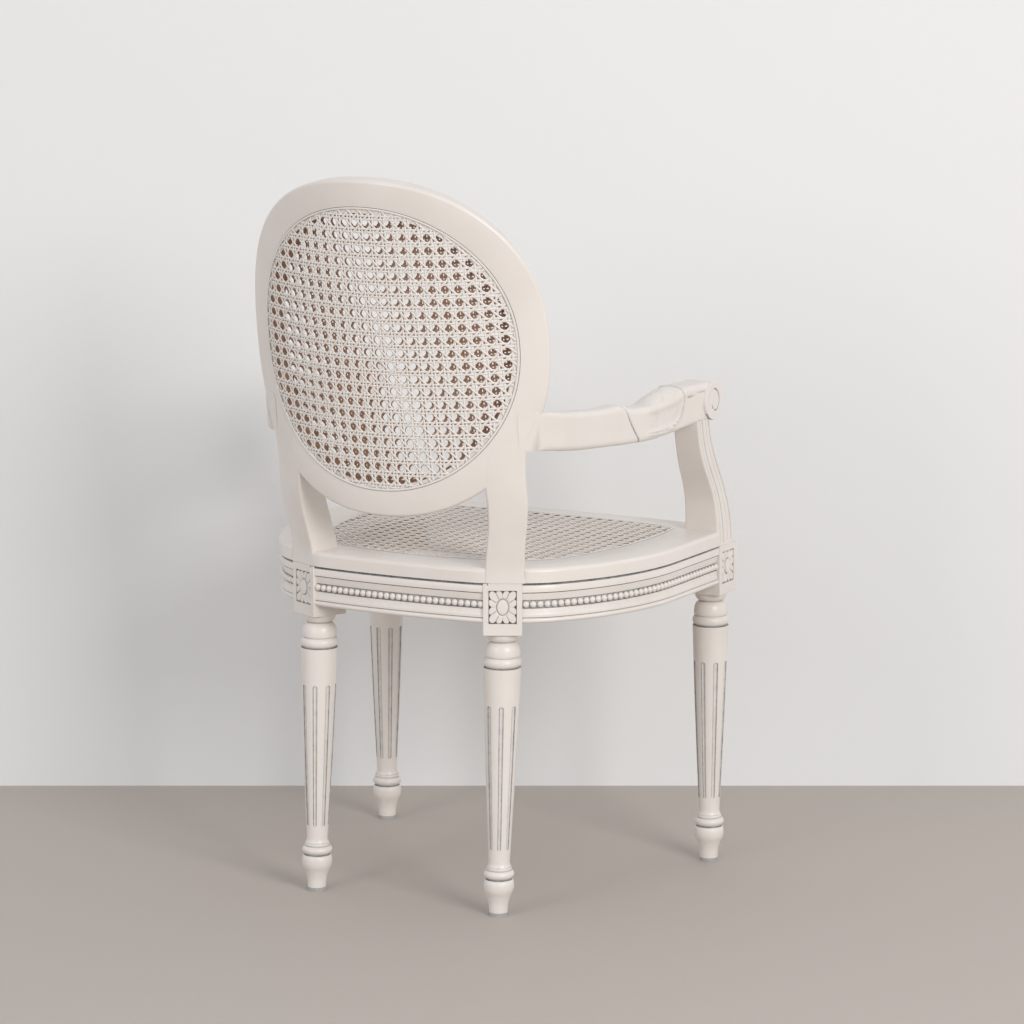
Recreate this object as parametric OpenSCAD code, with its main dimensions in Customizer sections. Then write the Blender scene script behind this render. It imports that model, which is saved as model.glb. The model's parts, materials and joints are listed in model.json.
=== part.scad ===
// Oval-back armchair with a double caned back and a caned seat.
// The floor is z = 0 and the sitter faces -Y. Left and right are the sitter's, and left is +X.

/* [Legs] */
// Distance of a rear leg's axis from the centre line
rear_leg_x = 142.8; // [125:1:160]
// Distance of the rear legs' axes behind the chair's centre, at the underside of their blocks
rear_leg_y = 149.7; // [135:1:160]
// Backward lean of the rear legs below the seat, in degrees
rear_leg_lean = 2; // [0:0.5:4]
// Angle by which the rear legs' outer faces turn outwards, in degrees
rear_leg_turn = 27.4; // [24:0.5:30]
// Distance of a front leg's axis from the centre line
front_leg_x = 263.2; // [250:1:280]
// Distance of the front legs' axes ahead of the chair's centre
front_leg_y = 242.3; // [235:1:260]
// Width of the square block at the top of each leg
block_w = 52.6; // [48:0.5:56]
// Height of the underside of the blocks
block_bottom = 388.3; // [370:1:400]
// Radius of the turned shaft at its top
shaft_top_r = 25.5; // [22:0.5:27]
// Radius of the turned shaft just above the collar at its foot
shaft_foot_r = 14.5; // [12:0.5:17]
// Radius of the collar and of the bulb at the foot
foot_r = 20.8; // [19:0.1:23]
// Number of flutes round each leg
flute_count = 8; // [6:2:10]
// Width of a flute at its top
flute_w = 5.2; // [3.5:0.1:6.5]
// Depth of a flute
flute_depth = 2; // [1:0.25:2.5]
// Height of the lower end of the flutes
flute_z0 = 95.5; // [85:0.5:120]
// Height of the upper end of the flutes
flute_z1 = 288; // [260:1:295]
// Radius of the glide under each foot
glide_r = 12.7; // [10:0.5:13]
// Thickness of the glide under each foot
glide_t = 5; // [3:0.5:7]

/* [Seat frame] */
// Height of the top of the seat border
seat_top = 479.5; // [476:0.5:486]
// Height of the joint between the rails and the seat border
rail_top = 458.2; // [454:0.5:462]
// Height of the lower edge of the rails
rail_bottom = 404.7; // [400:0.5:408]
// Thickness of the rails
rail_t = 24; // [20:1:26]
// Distance by which the rails lie behind the faces of the blocks
rail_set = 1.5; // [0.5:0.5:3]
// Distance by which the seat border overhangs the rails
overhang = 1.5; // [0.5:0.5:4]
// Radius of the rear rail's outer face
rear_rail_r = 989; // [800:10:1500]
// Radius of the side rails' outer faces beside the rear legs
corner_rail_r = 126; // [115:1:135]
// Angle at which the side rails leave the rear legs, in degrees
corner_a0 = 28.7; // [26:0.5:31]
// Angle at which the corner curve runs into the long curve of the side, in degrees
corner_a1 = 51.4; // [48:0.5:55]
// Forward bow of the front rail at its middle
front_bow = 10; // [4:1:16]
// Radius of the rounding along the seat border's upper edge
border_round = 5.5; // [3:0.5:7]
// Diameter of the carved beads
bead_d = 9.6; // [8:0.2:10.4]
// Spacing of the carved beads along a rail
bead_pitch = 11.4; // [11:0.1:14]

/* [Seat cane] */
// Depth of the caned opening behind the chair's centre
opening_rear = 137; // [130:1:140]
// Depth of the caned opening ahead of the chair's centre
opening_front = 241; // [230:1:245]
// Half of the width of the caned opening at its widest
opening_half_w = 226; // [220:1:230]
// Spacing of the gaps in the seat's cane net
seat_cane_pitch = 25; // [23:0.5:32]
// Width of a gap in the cane nets as a share of the spacing
cane_gap = 0.52; // [0.4:0.02:0.6]
// Thickness of the cane nets
cane_t = 1.4; // [1:0.1:1.8]
// Width of the grooves and of the splines that hold the edges of the cane nets
spline_w = 4; // [3:0.25:5]
// Depth of the grooves for the splines
groove_d = 7; // [5:0.5:8]
// Width of the lip that the edge of a cane net rests on
lip_w = 5; // [3:0.5:7]

/* [Back] */
// Height of the centre of the oval back
back_z = 772.8; // [760:1:785]
// Distance of the centre of the oval back behind the chair's centre
back_y = 254.8; // [250:1:260]
// Backward rake of the back, in degrees
back_rake = 7.24; // [6:0.25:8.5]
// Radius of the back's rear face, which curves round the sitter
back_r = 350.8; // [340:2:370]
// Half of the width of the caned opening of the back
back_in_w = 194; // [188:1:198]
// Half of the height of the caned opening of the back
back_in_h = 193.5; // [188:1:198]
// Roundness of the opening, where 2 is an ellipse
back_in_n = 2.11; // [2:0.05:2.4]
// Width of the oval's face at its sides
back_side_w = 33.1; // [30:0.5:36]
// Width of the oval's face at its top and bottom
back_top_w = 35.6; // [32:0.5:38]
// Roundness of the outer edge, where 2 is an ellipse
back_out_n = 2.29; // [2.15:0.05:2.5]
// Thickness of the oval frame
back_t = 25.4; // [22:0.5:30]
// Spacing of the gaps in the back's cane nets
back_cane_pitch = 24; // [22:0.5:32]

/* [Arms] */
// Distance of the arm's centre from the centre line where it meets the back
arm_x_rear = 202; // [198:1:206]
// Distance of the arm's centre from the centre line at the hand rest
arm_x_front = 266; // [262:1:270]
// Distance of the arm's rear end behind the chair's centre
arm_y_rear = 176; // [172:1:180]
// Height of the top of the hand rest
hand_top = 694; // [688:1:700]
// Height of the top of the arm at its lowest, halfway along
arm_low_top = 681; // [677:1:685]
// Thickness of the arm behind the hand rest
arm_w = 29; // [26:1:34]
// Width of the hand rest
hand_w = 44; // [40:1:46]
// Radius of the scroll at the front of the arm
scroll_r = 26.5; // [25:0.5:28]
// Distance of the scroll's centre ahead of the chair's centre
scroll_y = 189; // [185:1:193]
// Depth by which the arm support is let into the arm
support_let_in = 3; // [1:0.5:5]

/* [Joints] */
// Radius of the dowels in the frame joints
dowel_r = 4; // [3:0.5:5]
// Length of the dowels in the frame joints
dowel_l = 36; // [28:1:40]
// Clearance left for glue between jointed pieces
glue_gap = 0.1; // [0.05:0.05:0.25]
// Thickness of the corner braces inside the seat frame
brace_t = 20; // [16:1:24]
// Height of the corner braces
brace_h = 32; // [26:1:40]
// Shank radius of the corner brace screws
screw_r = 2.2; // [1.8:0.1:2.6]
// Length of the corner brace screws
screw_l = 40; // [34:1:44]

/* [Hidden] */

$fn = 64;
paint = [0.89, 0.865, 0.83];
cane_color = [0.85, 0.81, 0.76];
bare_wood = [0.72, 0.58, 0.42];
steel = [0.6, 0.6, 0.62];
left = 1;
right = -1;
block_half = block_w / 2;
rail_h = rail_top - rail_bottom;
border_t = seat_top - rail_top;

// Directions on the left rear block: out of its outer face, and along that face towards the side
face_n = [sin(rear_leg_turn), cos(rear_leg_turn)];
face_t = [cos(rear_leg_turn), -sin(rear_leg_turn)];
rear_axis = [rear_leg_x, rear_leg_y];
front_axis = [front_leg_x, -front_leg_y];

// Ends of the rails' outer faces, at the sides of the blocks
rear_end = rear_axis + (block_half - rail_set) * face_n - block_half * face_t;
side_end = rear_axis + (block_half - rail_set) * face_n + block_half * face_t;
front_end = front_axis + [-block_half, -block_half + rail_set];

// Centres, radii and end angles of the arcs that the rails follow
rear_c = [0, rear_end[1] - sqrt(pow(rear_rail_r, 2) - pow(rear_end[0], 2))];
rear_a = asin(rear_end[0] / rear_rail_r);
corner_c = side_end - corner_rail_r * [sin(corner_a0), cos(corner_a0)];
side_x = front_leg_x + block_half - rail_set;
side_rail_r = (side_x - corner_c[0] - corner_rail_r * sin(corner_a1)) / (1 - sin(corner_a1));
side_c = corner_c + (corner_rail_r - side_rail_r) * [sin(corner_a1), cos(corner_a1)];
straight_y0 = -front_leg_y + block_half;
straight_l = side_c[1] - straight_y0;
front_rail_r = (pow(front_end[0], 2) + pow(front_bow, 2)) / (2 * front_bow);
front_c = [0, front_end[1] - front_bow + front_rail_r];
front_a = asin(front_end[0] / front_rail_r);
// Angles by which the arcs run on into the blocks, before the blocks' room is cut away
rear_run_on = 1.5;
corner_run_on = 10;
front_run_on = 0.3;

// A point on the circle round c, with the angle measured from +Y towards +X
function on_arc(c, r, a) = c + r * [sin(a), cos(a)];
function arc_points(c, r, a0, a1, n) = [for (i = [0:n]) on_arc(c, r, a0 + (a1 - a0) * i / n)];
function mirrored(p) = [for (i = [len(p) - 1:-1:0]) [-p[i][0], p[i][1]]];
function both_sides(p) = concat(p, mirrored(p));
function sgn_pow(x, e) = sign(x) * pow(abs(x), e);

// Smooth curve through the rows of a table, whose first column is the place along it
function row_slope(t, i, k) = let (a = max(i - 1, 0), b = min(i + 1, len(t) - 1))
    (t[b][k] - t[a][k]) / (t[b][0] - t[a][0]);
function row_at(t, s, i = 0) = i >= len(t) - 2 || s <= t[i + 1][0] ? i : row_at(t, s, i + 1);
function hermite(p0, p1, m0, m1, u) = (2 * u * u * u - 3 * u * u + 1) * p0
    + (u * u * u - 2 * u * u + u) * m0 + (3 * u * u - 2 * u * u * u) * p1 + (u * u * u - u * u) * m1;
function along(t, s, k) = let (i = row_at(t, s), w = t[i + 1][0] - t[i][0])
    hermite(t[i][k], t[i + 1][k], w * row_slope(t, i, k), w * row_slope(t, i + 1, k), (s - t[i][0]) / w);

// Closed solid through sections, each listed anticlockwise as seen from the loft's end
module loft(sections) {
    n = len(sections);
    m = len(sections[0]);
    sides = [for (i = [0:n - 2], j = [0:m - 1]) let (a = i * m + j, b = i * m + (j + 1) % m)
        each [[a, b + m, b], [a, a + m, b + m]]];
    caps = [[for (j = [0:m - 1]) j], [for (j = [m - 1:-1:0]) (n - 1) * m + j]];
    polyhedron([for (s = sections) each s], concat(sides, caps), convexity = 6);
}
// The same, closed into a ring
module ring_loft(sections) {
    n = len(sections);
    m = len(sections[0]);
    faces = [for (i = [0:n - 1], j = [0:m - 1])
        let (k = (i + 1) % n, a = i * m + j, b = i * m + (j + 1) % m, c = k * m + (j + 1) % m, d = k * m + j)
        each [[a, c, b], [a, d, c]]];
    polyhedron([for (s = sections) each s], faces, convexity = 6);
}

// Rectangle of size w by h round the origin with rounded corners, as points
function round_rect(w, h, r, n) = [for (k = [0:3], i = [0:n])
    let (a = 90 * k + 90 * i / n, q = [[1, 1], [-1, 1], [-1, -1], [1, -1]][k])
    [q[0] * (w / 2 - r) + r * cos(a), q[1] * (h / 2 - r) + r * sin(a)]];

module on_side(side) {
    if (side == left) children();
    else mirror([1, 0, 0]) children();
}
module both() {
    on_side(left) children();
    on_side(right) children();
}
// Puts children, drawn with +X out of a block's outer face, at the left rear or front leg
module at_rear_leg() {
    translate([rear_leg_x, rear_leg_y, 0]) rotate([0, 0, 90 - rear_leg_turn]) children();
}
module at_front_leg() {
    translate([front_leg_x, -front_leg_y, 0]) children();
}
// Cylinder of length l round point p, along direction d
module rod(p, d, r, l) {
    translate(p) rotate([0, acos(d[2] / norm(d)), atan2(d[1], d[0])]) cylinder(h = l, r = r, center = true);
}

// Legs: turned, fluted, and square at the top

collar_z = 58;
collar_r = 5.5;
shaft_z0 = 74.5;
shaft_z1 = 340.8;
vase_z = 361;
neck_r = 15.7;
line_d = 1.2;
turned_outline = concat(
    [[0, glide_t], [glide_r, glide_t], [glide_r + 0.3, 12], [glide_r + 1, 19], [foot_r - 4.2, 28.2]],
    [[foot_r - 0.9, 35.3], [foot_r, 40.6], [foot_r - 0.2, 46.3], [foot_r - 1.4, 50], [foot_r - 2.9, 51.6]],
    [for (a = [-60:24:60]) [foot_r - collar_r + collar_r * cos(a), collar_z + collar_r * sin(a)]],
    [[foot_r - 3.5, collar_z + 6], [foot_r - 3.5, collar_z + 9], [shaft_foot_r + 0.6, collar_z + 12]],
    [[shaft_foot_r, shaft_z0], [shaft_top_r, shaft_z1], [shaft_top_r - line_d, shaft_z1 + 0.4]],
    [[shaft_top_r - line_d, shaft_z1 + 1.4]],
    [for (a = [-54:27:54]) [shaft_top_r - 6 + 6 * cos(a), vase_z - 12.5 + 7 * sin(a)]],
    [[shaft_top_r - 2.6, vase_z - 5.6], [shaft_top_r - 1.8, vase_z], [shaft_top_r - 2.1, vase_z + 3.5]],
    [[shaft_top_r - 3.5, vase_z + 9.5], [shaft_top_r - 5.9, vase_z + 13], [neck_r, vase_z + 15.3]],
    [for (a = [0:22.5:67.5]) [neck_r + 6.7 * sin(a), block_bottom - 1.3 - 10 * cos(a)]],
    [[neck_r + 6.7, block_bottom - 1.3], [neck_r + 6.7, block_bottom], [0, block_bottom + 1]]
);

module flute() {
    rise = flute_z1 - flute_z0;
    taper = (shaft_top_r - shaft_foot_r) / (shaft_z1 - shaft_z0);
    low_r = flute_w * 0.4;
    top_r = flute_w * 0.5;
    low_surface = shaft_foot_r + taper * (flute_z0 - shaft_z0);
    translate([low_surface - flute_depth + low_r, 0, flute_z0]) rotate([0, atan(taper), 0]) {
        cylinder(h = rise, r1 = low_r, r2 = top_r);
        sphere(r = low_r);
        translate([0, 0, rise]) sphere(r = top_r);
    }
}
module turned_leg() {
    difference() {
        rotate_extrude() polygon(turned_outline);
        for (i = [0:flute_count - 1]) rotate([0, 0, 360 * (i + 0.5) / flute_count]) flute();
    }
}

// Carved flower in a sunk panel on the face x = block_half
panel_w = 38;
panel_h = 45.4;
panel_d = 2.5;
panel_z = 427;
button_r = 7.2;
petal_r = 3.7;
module panel_cut() {
    translate([block_half - panel_d, -panel_w / 2, panel_z - panel_h / 2]) cube([panel_d + 1, panel_w, panel_h]);
}
module flower() {
    translate([block_half - panel_d - 0.5, 0, panel_z]) {
        rotate([0, 90, 0]) cylinder(h = panel_d + 1.4, r = button_r);
        for (i = [0:7]) rotate([45 * i + 22.5, 0, 0]) petal(abs(cos(45 * i + 22.5)) > 0.5 ? 20.5 : 18);
    }
}
module petal(reach) {
    translate([0, -petal_r, button_r - 2]) cube([panel_d, 2 * petal_r, reach - button_r + 2 - petal_r]);
    translate([0, 0, reach - petal_r]) rotate([0, 90, 0]) cylinder(h = panel_d, r = petal_r);
}
module block(height, faces) {
    difference() {
        translate([-block_half, -block_half, block_bottom]) cube([block_w, block_w, height]);
        for (a = faces) rotate([0, 0, a]) panel_cut();
    }
    for (a = faces) rotate([0, 0, a]) flower();
}

module front_leg() {
    difference() {
        at_front_leg() {
            turned_leg();
            block(seat_top - block_bottom, [0, -90]);
        }
        frame_dowel_holes();
        support_dowel(dowel_r + glue_gap / 2, dowel_l + 2);
        at_front_brace() brace_screw_room(screw_r + glue_gap / 2);
    }
}

rear_foot_y = rear_leg_y + block_bottom * tan(rear_leg_lean);
module rear_leg() {
    difference() {
        union() {
            leaning_leg();
            at_rear_leg() block(rail_top - block_bottom, [0]);
        }
        frame_dowel_holes();
        at_rear_brace() brace_screw_room(screw_r + glue_gap / 2);
    }
    stile();
}
// The leg leans back below its block, and its foot is cut level on the glide
module leaning_leg() {
    intersection() {
        translate([rear_leg_x, rear_leg_y, block_bottom]) rotate([rear_leg_lean, 0, 0])
            translate([0, 0, -block_bottom]) {
                turned_leg();
                cylinder(h = glide_t + 1, r = glide_r);
            }
        translate([0, 0, glide_t]) cube([4 * rear_leg_x, 5 * rear_leg_y, block_bottom]);
    }
}
module glide(p) {
    translate([p[0], p[1], 0]) cylinder(h = glide_t, r = glide_r);
}

// Rails: moulded and beaded outside, flat inside

bead_z = rail_bottom + 25.6;
bead_bed = 5.2;
bead_lift = 0.6;
roll_r = 3.7;
rail_outline = concat(
    [[0, 0], [rail_t - roll_r, 0]],
    [for (a = [-60:30:90]) [rail_t - roll_r + roll_r * cos(a), roll_r * (1 + sin(a))]],
    [[rail_t - 2.2, 8], [rail_t - 1.2, 8.4], [rail_t - 1.2, 11], [rail_t - 4.6, 18.5]],
    [[rail_t - bead_bed, 19.6], [rail_t - bead_bed, 31.6], [rail_t - 4.4, 32.6]],
    [[rail_t - 1.6, 40], [rail_t - 1.6, 41.2], [rail_t - 0.9, 41.8], [rail_t, 42.2], [rail_t, rail_h - 2]],
    [[rail_t - 2, rail_h - 1.6], [rail_t - 2, rail_h], [0, rail_h]]
);

// Stations along an arc, as [point, angle of the outward normal]
function arc_path(c, r, a0, a1, n) = [for (i = [0:n]) let (a = a0 + (a1 - a0) * i / n) [on_arc(c, r, a), a]];
rear_path = arc_path(rear_c, rear_rail_r, -rear_a - rear_run_on, rear_a + rear_run_on, 12);
front_path = arc_path(front_c, front_rail_r, 180 - front_a - front_run_on, 180 + front_a + front_run_on, 12);
// The left side, from the rear leg to the front leg
side_path = concat(
    arc_path(corner_c, corner_rail_r, corner_a0 - corner_run_on, corner_a1, 9),
    arc_path(side_c, side_rail_r, corner_a1 + 3, 90, 11),
    [[[side_x, straight_y0 - 5], 90]]
);
// Sweeps an outline, drawn with x = 0 on the rail's outer face, along a path
module sweep(path, outline) {
    loft([for (s = path) [for (q = outline)
        [s[0][0] + q[0] * sin(s[1]), s[0][1] + q[0] * cos(s[1]), q[1]]]]);
}
function placed(outline, p) = [for (q = outline) q + p];
module rail_body(path) {
    sweep(path, placed(rail_outline, [-rail_t, rail_bottom]));
}
module arc_beads(c, r, a0, a1) {
    count = floor((a1 - a0) * PI / 180 * r / bead_pitch);
    for (i = [0:count - 1]) {
        a = a0 + (a1 - a0) * (i + 0.5) / count;
        p = on_arc(c, r - bead_bed + bead_lift, a);
        translate([p[0], p[1], bead_z]) rotate([90, 0, -a]) sphere(d = bead_d);
    }
}
module straight_beads() {
    count = floor(straight_l / bead_pitch);
    for (i = [0:count - 1])
        translate([side_x - bead_bed + bead_lift, straight_y0 + straight_l * (i + 0.5) / count, bead_z])
            rotate([0, 90, 0]) sphere(d = bead_d);
}

module rear_rail() {
    color(paint) difference() {
        union() {
            rail_body(rear_path);
            arc_beads(rear_c, rear_rail_r, -rear_a, rear_a);
        }
        both() at_rear_leg() rear_block_room();
        frame_dowel_holes();
    }
}
module front_rail() {
    color(paint) difference() {
        union() {
            rail_body(front_path);
            arc_beads(front_c, front_rail_r, 180 - front_a, 180 + front_a);
        }
        both() at_front_leg() front_block_room();
        frame_dowel_holes();
    }
}
module side_rail() {
    difference() {
        union() {
            rail_body(side_path);
            arc_beads(corner_c, corner_rail_r, corner_a0, corner_a1);
            arc_beads(side_c, side_rail_r, corner_a1, 90);
            straight_beads();
        }
        at_rear_leg() rear_block_room();
        at_front_leg() front_block_room();
        frame_dowel_holes();
    }
}

// Room for a block and for all that lies outside it, with the glue gap
room_w = block_w + 2 * glue_gap;
room_out = 40;
room_drop = 20;
room_h = 2 * (seat_top - block_bottom);
module rear_block_room() {
    translate([-room_w / 2, -room_w / 2, block_bottom - room_drop]) cube([room_w + room_out, room_w, room_h]);
}
module front_block_room() {
    translate([-room_w / 2, -room_w / 2 - room_out, block_bottom - room_drop])
        cube([room_w + room_out, room_w + room_out, room_h]);
}

// Dowels of the seat frame, two at each rail end: each place is a point and a direction
dowel_in = 13;
dowel_low_z = rail_bottom + 13;
dowel_high_z = rail_bottom + 41;
frame_dowel_spots = [
    [rear_end - dowel_in * face_n, [-face_t[0], -face_t[1], 0]],
    [side_end - dowel_in * face_n, [face_t[0], face_t[1], 0]],
    [front_end + [0, dowel_in], [1, 0, 0]],
    [[side_x - dowel_in, straight_y0], [0, 1, 0]]
];
module frame_dowels(r, l) {
    both() for (s = frame_dowel_spots, z = [dowel_low_z, dowel_high_z]) rod([s[0][0], s[0][1], z], s[1], r, l);
}
module frame_dowel_holes() {
    frame_dowels(dowel_r + glue_gap / 2, dowel_l + 2);
}

// Seat border: a flat frame with a rounded outer edge, grooved for the cane

band_w = 24;
band_lap = 2;
border_outline = concat(
    [[0, 0], [band_w, 0]],
    [for (a = [0:15:90]) [band_w - border_round * (1 - cos(a)), border_t - border_round * (1 - sin(a))]],
    [[0, border_t]]
);
module border_band(path) {
    sweep(path, placed(border_outline, [overhang - band_w, rail_top]));
}
// Radius of the outer edge of the border's flat middle, which laps into the rounded band
function flat_r(r) = r + overhang - band_w + band_lap;

// Caned opening: arcs that run into each other, grown outwards by g
open_rear_r = 420;
open_corner_r = 110;
open_front_r = 1500;
open_a0 = 17;
open_a1 = 70;
open_front_corner = 27.6;
open_front_a = 7.8;
open_rear_c = [0, opening_rear - open_rear_r];
open_corner_c = open_rear_c + (open_rear_r - open_corner_r) * [sin(open_a0), cos(open_a0)];
open_side_r = (opening_half_w - open_corner_c[0] - open_corner_r * sin(open_a1)) / (1 - sin(open_a1));
open_side_c = open_corner_c + (open_corner_r - open_side_r) * [sin(open_a1), cos(open_a1)];
open_front_c = [0, open_front_r - opening_front];
open_side_end = acos((open_front_corner - opening_front - open_side_c[1]) / open_side_r);
module opening(g) {
    polygon(both_sides(concat(
        arc_points(open_rear_c, open_rear_r + g, 0, open_a0, 6),
        arc_points(open_corner_c, open_corner_r + g, open_a0 + 6, open_a1, 9),
        arc_points(open_side_c, open_side_r + g, open_a1 + 3, open_side_end, 9),
        arc_points(open_front_c, open_front_r + g, 180 - open_front_a, 180, 6)
    )));
}
// Whether point p lies at least m inside the opening
function in_opening(p, m) = let (q = [abs(p[0]), p[1]])
    norm(q - open_rear_c) < open_rear_r - m && norm(q - open_side_c) < open_side_r - m
    && norm(q - open_front_c) < open_front_r - m
    && (norm(q - open_corner_c) < open_corner_r - m || atan2(q[0] - open_corner_c[0], q[1] - open_corner_c[1]) > open_a1
        || atan2(q[0] - open_corner_c[0], q[1] - open_corner_c[1]) < open_a0);

// The part of the border between the rear legs, and the line where the front part starts
module rear_part(g) {
    s = rear_axis + 100 * face_n + [g, 0];
    t = rear_axis - 130 * face_n + [g, 0];
    polygon([s, t, [-t[0], t[1]], [-s[0], s[1]]]);
}
front_part_y = straight_y0;

module border_flat() {
    translate([0, 0, rail_top]) linear_extrude(height = border_t) difference() {
        children();
        opening(-spline_w - lip_w);
    }
}
module border_cuts() {
    translate([0, 0, seat_top - groove_d]) linear_extrude(height = groove_d + 1) difference() {
        opening(0);
        opening(-spline_w);
    }
    translate([0, 0, seat_top - cane_t - 0.6]) linear_extrude(height = cane_t + 2) opening(-spline_w);
}

module rear_border() {
    color(paint) difference() {
        union() {
            border_flat() intersection() {
                polygon(both_sides(concat(
                    arc_points(rear_c, flat_r(rear_rail_r), 0, rear_a + rear_run_on, 8),
                    [[0.84 * rear_leg_x, 0]]
                )));
                rear_part(0);
            }
            border_band(rear_path);
        }
        border_cuts();
        both() stile_room();
    }
}
module front_border() {
    color(paint) difference() {
        union() {
            border_flat() polygon(both_sides(concat(
                [[front_end[0], front_part_y]],
                arc_points(front_c, flat_r(front_rail_r), 180 - front_a, 180, 8)
            )));
            border_band(front_path);
        }
        border_cuts();
        both() at_front_leg() front_block_room();
    }
}
module side_border() {
    difference() {
        union() {
            border_flat() difference() {
                polygon(concat(
                    [[0.42 * rear_leg_x, 0.4 * rear_leg_y]],
                    arc_points(corner_c, flat_r(corner_rail_r), corner_a0 - corner_run_on, corner_a1, 8),
                    arc_points(side_c, flat_r(side_rail_r), corner_a1 + 3, 90, 10),
                    [[flat_r(side_x), front_part_y + glue_gap], [0.57 * front_leg_x, front_part_y + glue_gap]]
                ));
                rear_part(glue_gap);
            }
            border_band(side_path);
        }
        border_cuts();
        stile_room();
        at_front_leg() front_block_room();
    }
}

// Cane nets: thin sheets with rows of gaps

net_seat = 0.3;
module cane_hole(pitch) {
    h = pitch * cane_gap / 2;
    k = h * 0.42;
    polygon([[h, -k], [h, k], [k, h], [-k, h], [-h, k], [-h, -k], [-k, -h], [k, -h]]);
}
net_rows = 12;
module seat_cane() {
    rim = spline_w + lip_w + 2;
    color(cane_color) translate([0, 0, seat_top - cane_t - net_seat]) linear_extrude(height = cane_t) difference() {
        opening(-spline_w - net_seat);
        for (i = [-net_rows:net_rows], j = [-net_rows:net_rows]) {
            p = seat_cane_pitch * [i, j] + [0, (opening_rear - opening_front) / 2];
            if (in_opening(p, rim)) translate(p) cane_hole(seat_cane_pitch);
        }
    }
}
module seat_spline() {
    color(paint) translate([0, 0, seat_top - groove_d + net_seat]) linear_extrude(height = groove_d + net_seat) difference() {
        opening(-net_seat);
        opening(-spline_w + net_seat);
    }
}

// Corner braces inside the seat frame, notched round the leg blocks

brace_wrap = 12;
brace_z = rail_bottom + 9;
brace_reach = 120;
brace_gap = 0.3;
// Space inside the rails
module rail_space() {
    polygon(both_sides(concat(
        arc_points(rear_c, rear_rail_r - rail_t - brace_gap, 0, rear_a, 8),
        arc_points(corner_c, corner_rail_r - rail_t - brace_gap, corner_a0, corner_a1, 8),
        arc_points(side_c, side_rail_r - rail_t - brace_gap, corner_a1 + 3, 90, 10),
        [[side_x - rail_t - brace_gap, front_end[1] + rail_t + brace_gap]],
        arc_points(front_c, front_rail_r - rail_t - brace_gap, 180 - front_a, 180, 8)
    )));
}
// Drawn with +X towards the leg, x = 0 on the brace's inner face
module at_rear_brace() {
    at_rear_leg() translate([-block_half - brace_t, 0, 0]) children();
}
module at_front_brace() {
    at_front_leg() rotate([0, 0, -45]) translate([-block_half * sqrt(2) - brace_t + brace_wrap, 0, 0]) children();
}
module brace_bar() {
    translate([0, -brace_reach, brace_z]) cube([brace_t + brace_wrap, 2 * brace_reach, brace_h]);
}
module brace_screw_room(r) {
    for (z = [brace_z + 9, brace_z + brace_h - 9]) rod([screw_l / 2, 0, z], [1, 0, 0], r, screw_l + 2);
}
module brace_screw() {
    for (z = [brace_z + 9, brace_z + brace_h - 9]) {
        rod([screw_l / 2, 0, z], [1, 0, 0], screw_r, screw_l);
        rod([-1.3, 0, z], [1, 0, 0], screw_r * 2, 2.6);
    }
}
module rear_brace() {
    difference() {
        intersection() {
            at_rear_brace() brace_bar();
            linear_extrude(height = seat_top) rail_space();
        }
        at_rear_leg() rear_block_room();
        at_rear_brace() brace_screw_room(screw_r + 0.3);
    }
}
module front_brace() {
    difference() {
        intersection() {
            at_front_brace() brace_bar();
            linear_extrude(height = seat_top) rail_space();
        }
        at_front_leg() front_block_room();
        at_front_brace() brace_screw_room(screw_r + 0.3);
    }
}
module brace_screws() {
    color(steel) both() {
        at_rear_brace() brace_screw();
        at_front_brace() brace_screw();
    }
}

// Back: an oval frame of four pieces, curved round the sitter and raked

rake_up = [0, sin(back_rake), cos(back_rake)];
rake_out = [0, cos(back_rake), -sin(back_rake)];
back_c = [0, back_y, back_z] - back_r * rake_out;

// Place on the curved back: u across, v up the back, t deep from its rear face
function back_point(u, v, t) = let (s = u / back_r)
    back_c + (back_r - t) * ([s, 0, 0] + sqrt(1 - s * s) * rake_out) + v * rake_up;

function oval(a, b, n, th) = [a * sgn_pow(cos(th), 2 / n), b * sgn_pow(sin(th), 2 / n)];
function oval_in(th) = oval(back_in_w, back_in_h, back_in_n, th);
function oval_out(th) = oval(back_in_w + back_side_w, back_in_h + back_top_w, back_out_n, th);
function frame_width(th) = norm(oval_out(th) - oval_in(th));
// Place on the frame at angle th, w outwards from the opening's edge, t deep from the rear face
function frame_point(th, w, t) = let (p = oval_in(th) + (oval_out(th) - oval_in(th)) * w / frame_width(th))
    back_point(p[0], p[1], t);

// Cross-section of the frame, as [w, t] points
frame_round = 5;
net_bed = cane_t + 0.6;
function frame_outline(width) = concat(
    [[0, 0], [0, groove_d], [-spline_w, groove_d], [-spline_w, net_bed], [-spline_w - lip_w, net_bed]],
    [[-spline_w - lip_w, back_t - net_bed], [-spline_w, back_t - net_bed], [-spline_w, back_t - groove_d]],
    [[0, back_t - groove_d], [0, back_t]],
    [for (a = [90:-30:0]) [width + frame_round * (cos(a) - 1), back_t + frame_round * (sin(a) - 1)]],
    [for (a = [0:-30:-90]) [width + frame_round * (cos(a) - 1), frame_round * (sin(a) + 1)]]
);
function frame_section(th) = [for (q = frame_outline(frame_width(th))) frame_point(th, q[0], q[1])];

frame_step = 5;
crest_a = 40;
base_a = -62;
gap_a = glue_gap / 2 / back_in_w * 180 / PI;
module frame_piece(a0, a1) {
    n = round((a1 - a0) / frame_step);
    loft([for (i = [0:n]) frame_section(a0 + gap_a + (a1 - a0 - 2 * gap_a) * i / n)]);
}
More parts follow.
